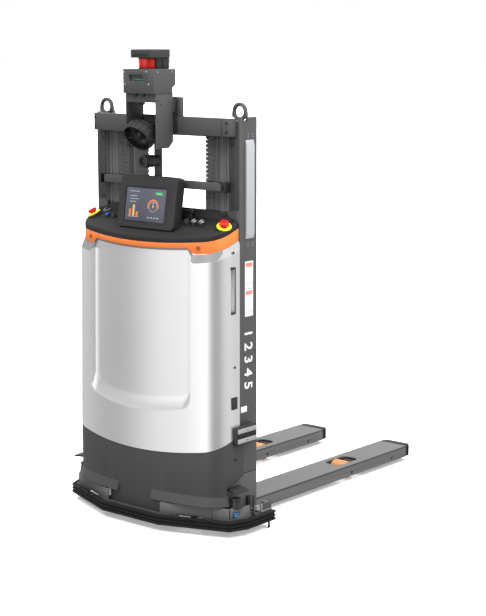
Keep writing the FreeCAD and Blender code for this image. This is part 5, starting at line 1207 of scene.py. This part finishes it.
def lip_point(column, row):
    x, y, turn = LIP_PLAN[column]
    out, z = LIP_ROWS[row]
    if column in (0, len(LIP_PLAN) - 1):
        out = -1.5
    return Vector((x + out * math.sin(turn), y - out * math.cos(turn), z))


def corner_plate(name, start, end, low, high, out, edge):
    """A plate on the slanting corner face in front of the scanner, from start to end along it."""
    corners = [(441 + 0.332 * along + 0.943 * across, -683.5 + 0.943 * along - 0.332 * across, low)
               for along, across in ((start, -1.4), (end, -1.4), (end, out), (start, out))]
    return prism(name, corners, (0, 0, high - low), edge)


class STACKER_OT_foot(StackerOperator, bpy.types.Operator):
    """Makes the scanners, aerials, brackets, seams and bolts round the foot"""
    bl_idname = "stacker.foot"
    bl_label = "Foot fittings"

    def execute(self, context):
        ease_all(("foot_covers", 1.2, "upright_paint"), ("sensor_fascias", 1.0, "fascia_paint"),
                 ("scanner_hoods", 1.4, "dark_plastic"), ("chassis_base", 1.2), ("grounding_strap", 0.4))
        self.scanners()
        lip = modify(pressed("skirt_lip", len(LIP_PLAN), len(LIP_ROWS), lip_point), "SOLIDIFY",
                     thickness=1.6 * MM, offset=-1.0)
        fitted("skirt_lips", [smooth(lip, 30)], "base_skirt", "dark_paint", pair=True)
        face = corner_plate("corner_face", 0, 64.5, 73, 119, 0.6, 0.6)
        fitted("corner_faces", [face], "sensor_fascias", "fascia_paint", pair=True)
        self.seams()
        display = corner_plate("corner_display", 22, 47, 88, 100, 1.7, 0.4)
        fitted("corner_displays", [display], "corner_scanners", "scanner_blue", pair=True)
        tray = [slab("corner_tray", (405, -512, 73), (474, -446, 79), 1.2),
                slab("corner_wall", (466, -512, 73), (472, -446, 106), 1.5),
                slab("corner_rib", (420, -450, 73), (466, -445, 102), 1.2),
                slab("corner_rib", (438, -482, 73), (466, -477, 96), 1.2)]
        fitted("corner_trays", tray, "chassis_base", "tray_metal", pair=True)
        small = screws("tray_bolt", [(430, -497, 79), (452, -462, 79)], UP, 5, 3.5)
        small += slabs("base_plug", 1.6, *[((x - 13, y - 4, 72), (x + 13, y + 4, 78))
                                           for x, y in ((250, -790), (300, -771), (380, -742))])
        small.append(slab("cable_port", (410, -535, 80), (418, -515, 140), 2))
        fitted("base_fittings", small, "chassis_base", "nose_black", pair=True)
        eased("bumper_strip", 1.2)
        bolts = screws("bumper_bolt", [(100, -806, 72), (210, -790, 72), (330, -745, 72), (440, -704, 72),
                                       (480, -560, 72)], UP, 5.5, 3)
        fitted("bumper_bolts", bolts, "bumper_strip", "black_steel", pair=True)
        return {"FINISHED"}

    def scanners(self):
        head = [(0, 117.6), (25, 117.6), (25.5, 118.6), (25.5, 121), (22.6, 123), (22, 126), (19.6, 148),
                (20.8, 149.4), (20.8, 156), (19, 159.4), (0, 159.8)]
        eye = [(0, 73), (20, 73), (20, 88), (18, 89.5), (18, 104.5), (20, 106), (20, 116.6), (0, 116.6)]
        window = [(17.6, 90), (18.9, 91), (19.2, 97), (18.9, 103), (17.6, 104), (17.6, 90)]
        aerial = [(0, 74), (7, 74), (7, 84), (4.8, 86), (4.8, 150), (4, 156), (2.4, 159.6), (0, 159.8)]
        heads = [lathe("scanner_head", head, (443, -640, 0), steps=40),
                 lathe("scanner_eye", eye, SCANNER, steps=40),
                 lathe("aerial", aerial, (470, -562, 0), steps=20)]
        fitted("scanner_heads", heads, "corner_scanners", "black_gloss", ["corner_scanners"],
               True)
        lights = [lathe("scanner_window", window, SCANNER, steps=40),
                  slab("scanner_light", (452, -668, 84), (462, -660, 92), 1.5),
                  slab("scanner_light", (399, -690, 123), (411, -684, 126), 1),
                  slab("scanner_light", (412, -676, 121), (420, -668, 127), 1)]
        fitted("scanner_windows", lights, "corner_scanners", "scanner_blue", pair=True)

    def seams(self):
        """The dark joints of the corner plates and the fascias, and the seams of the cover's side."""
        dark = [corner_plate("corner_groove", 0.5, 5, 74, 118.4, 1.2, 0.3),
                corner_plate("display_frame", 17, 52, 78, 103, 1.1, 0.4),
                prism("fascia_gap", [(368.2, -712.4, 72.5), (370.8, -711.4, 72.5), (370.4, -710.4, 72.5),
                                     (367.8, -711.4, 72.5)], (0, 0, 47.8), 0.2),
                prism("fascia_slot", [(221.4, -767.2, 72.2), (319.4, -730.9, 72.2), (318.7, -729, 72.2),
                                      (220.7, -765.3, 72.2)], (0, 0, 5), 0.3),
                slab("cover_seam", (404.6, REAR_EDGE, 236.8), (405.7, -462.4, 239.4), 0.3)]
        line = [Vector((426.4, -573.2, 240.4)), Vector((426.4, -621.4, 219.2)), Vector((423.4, -648, 207.4))]
        wide = Vector((0, 0, 3.2))
        for start, end in zip(line, line[1:]):
            dark.append(prism("cut_seam", [start, end, end + wide, start + wide], (-3, 0, 0), 0.2))
        fitted("corner_seams", dark, "sensor_fascias", "nose_black", pair=True)


class STACKER_OT_forks(StackerOperator, bpy.types.Operator):
    """Rounds the forks, the load rollers and the legs, and adds the seams and the noses' notches"""
    bl_idname = "stacker.forks"
    bl_label = "Forks"

    def execute(self, context):
        inner, outer = 176, 329
        seams = slabs("fork_seam", 0.3, *[((x - 0.8, -438, 70.6), (x + 0.8, 770, 74.0))
                                          for x in (outer, inner)])
        seams += slabs("fork_slot", 0.3, *[((x - 0.5, y, 40), (x + 0.5, y + 14, 46))
                                           for x in (inner, outer) for y in (322, 650)])
        seams.append(slab("nose_joint", (177, 770.6, 27), (328, 772.4, 78.25), 0.3))
        seams = joined("fork_seams", seams)
        for node, piece in (("fork_right", seams), ("fork_left", mirrored(seams, "fork_seams_left"))):
            eased(node, 1.8, segments=3)
            settle(piece, HOME[node], paint("nose_black"))
        nose = prism("fork_nose", [(176.4, 771, 24.3), (328.6, 771, 24.3), (328.6, 802, 24.3),
                                   (311, 819.8, 24.3), (194, 819.8, 24.3), (176.4, 802, 24.3)],
                     (0, 0, 53.6), 1.8, 3)
        for x in (176.4, 328.6):
            carve(nose, slab("notch", (x - 6, 786, 20), (x + 6, 793, 70), 1.0))
            carve(nose, slab("notch", (x - 24, 804, 44), (x + 24, 806, 60), 0.5))
        fitted("fork_nose_caps", [nose], "fork_noses", "nose_black", ["fork_noses"], True)
        ease_all(("load_roller_right", 1.5, None, 3), ("load_roller_left", 1.5, None, 3), ("legs", 1.2))
        return {"FINISHED"}


class STACKER_PT_panel(bpy.types.Panel):
    """Lists the pieces of the stacker and their settings"""
    bl_label = "Pallet stacker"
    bl_space_type = "VIEW_3D"
    bl_region_type = "UI"
    bl_category = "Stacker"

    def draw(self, context):
        for operator in OPERATORS:
            self.layout.operator(operator.bl_idname)
        for group in (context.scene.stacker_colours, context.scene.stacker_view):
            box = self.layout.box()
            for name in group.bl_rna.properties.keys():
                if name not in ("rna_type", "name"):
                    box.prop(group, name)


OPERATORS = (STACKER_OT_stage, STACKER_OT_body, STACKER_OT_cover, STACKER_OT_console, STACKER_OT_screen,
             STACKER_OT_tower, STACKER_OT_mast, STACKER_OT_sides, STACKER_OT_foot, STACKER_OT_forks)
CLASSES = (StackerColours, StackerView, *OPERATORS, STACKER_PT_panel)


def register():
    for part in CLASSES:
        bpy.utils.register_class(part)
    bpy.types.Scene.stacker_colours = bpy.props.PointerProperty(type=StackerColours)
    bpy.types.Scene.stacker_view = bpy.props.PointerProperty(type=StackerView)


def unregister():
    del bpy.types.Scene.stacker_view
    del bpy.types.Scene.stacker_colours
    for part in reversed(CLASSES):
        bpy.utils.unregister_class(part)


def main():
    register()
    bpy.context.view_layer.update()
    for operator in OPERATORS:
        group, name = operator.bl_idname.split(".")
        getattr(getattr(bpy.ops, group), name)()


if __name__ == "__main__":
    main()
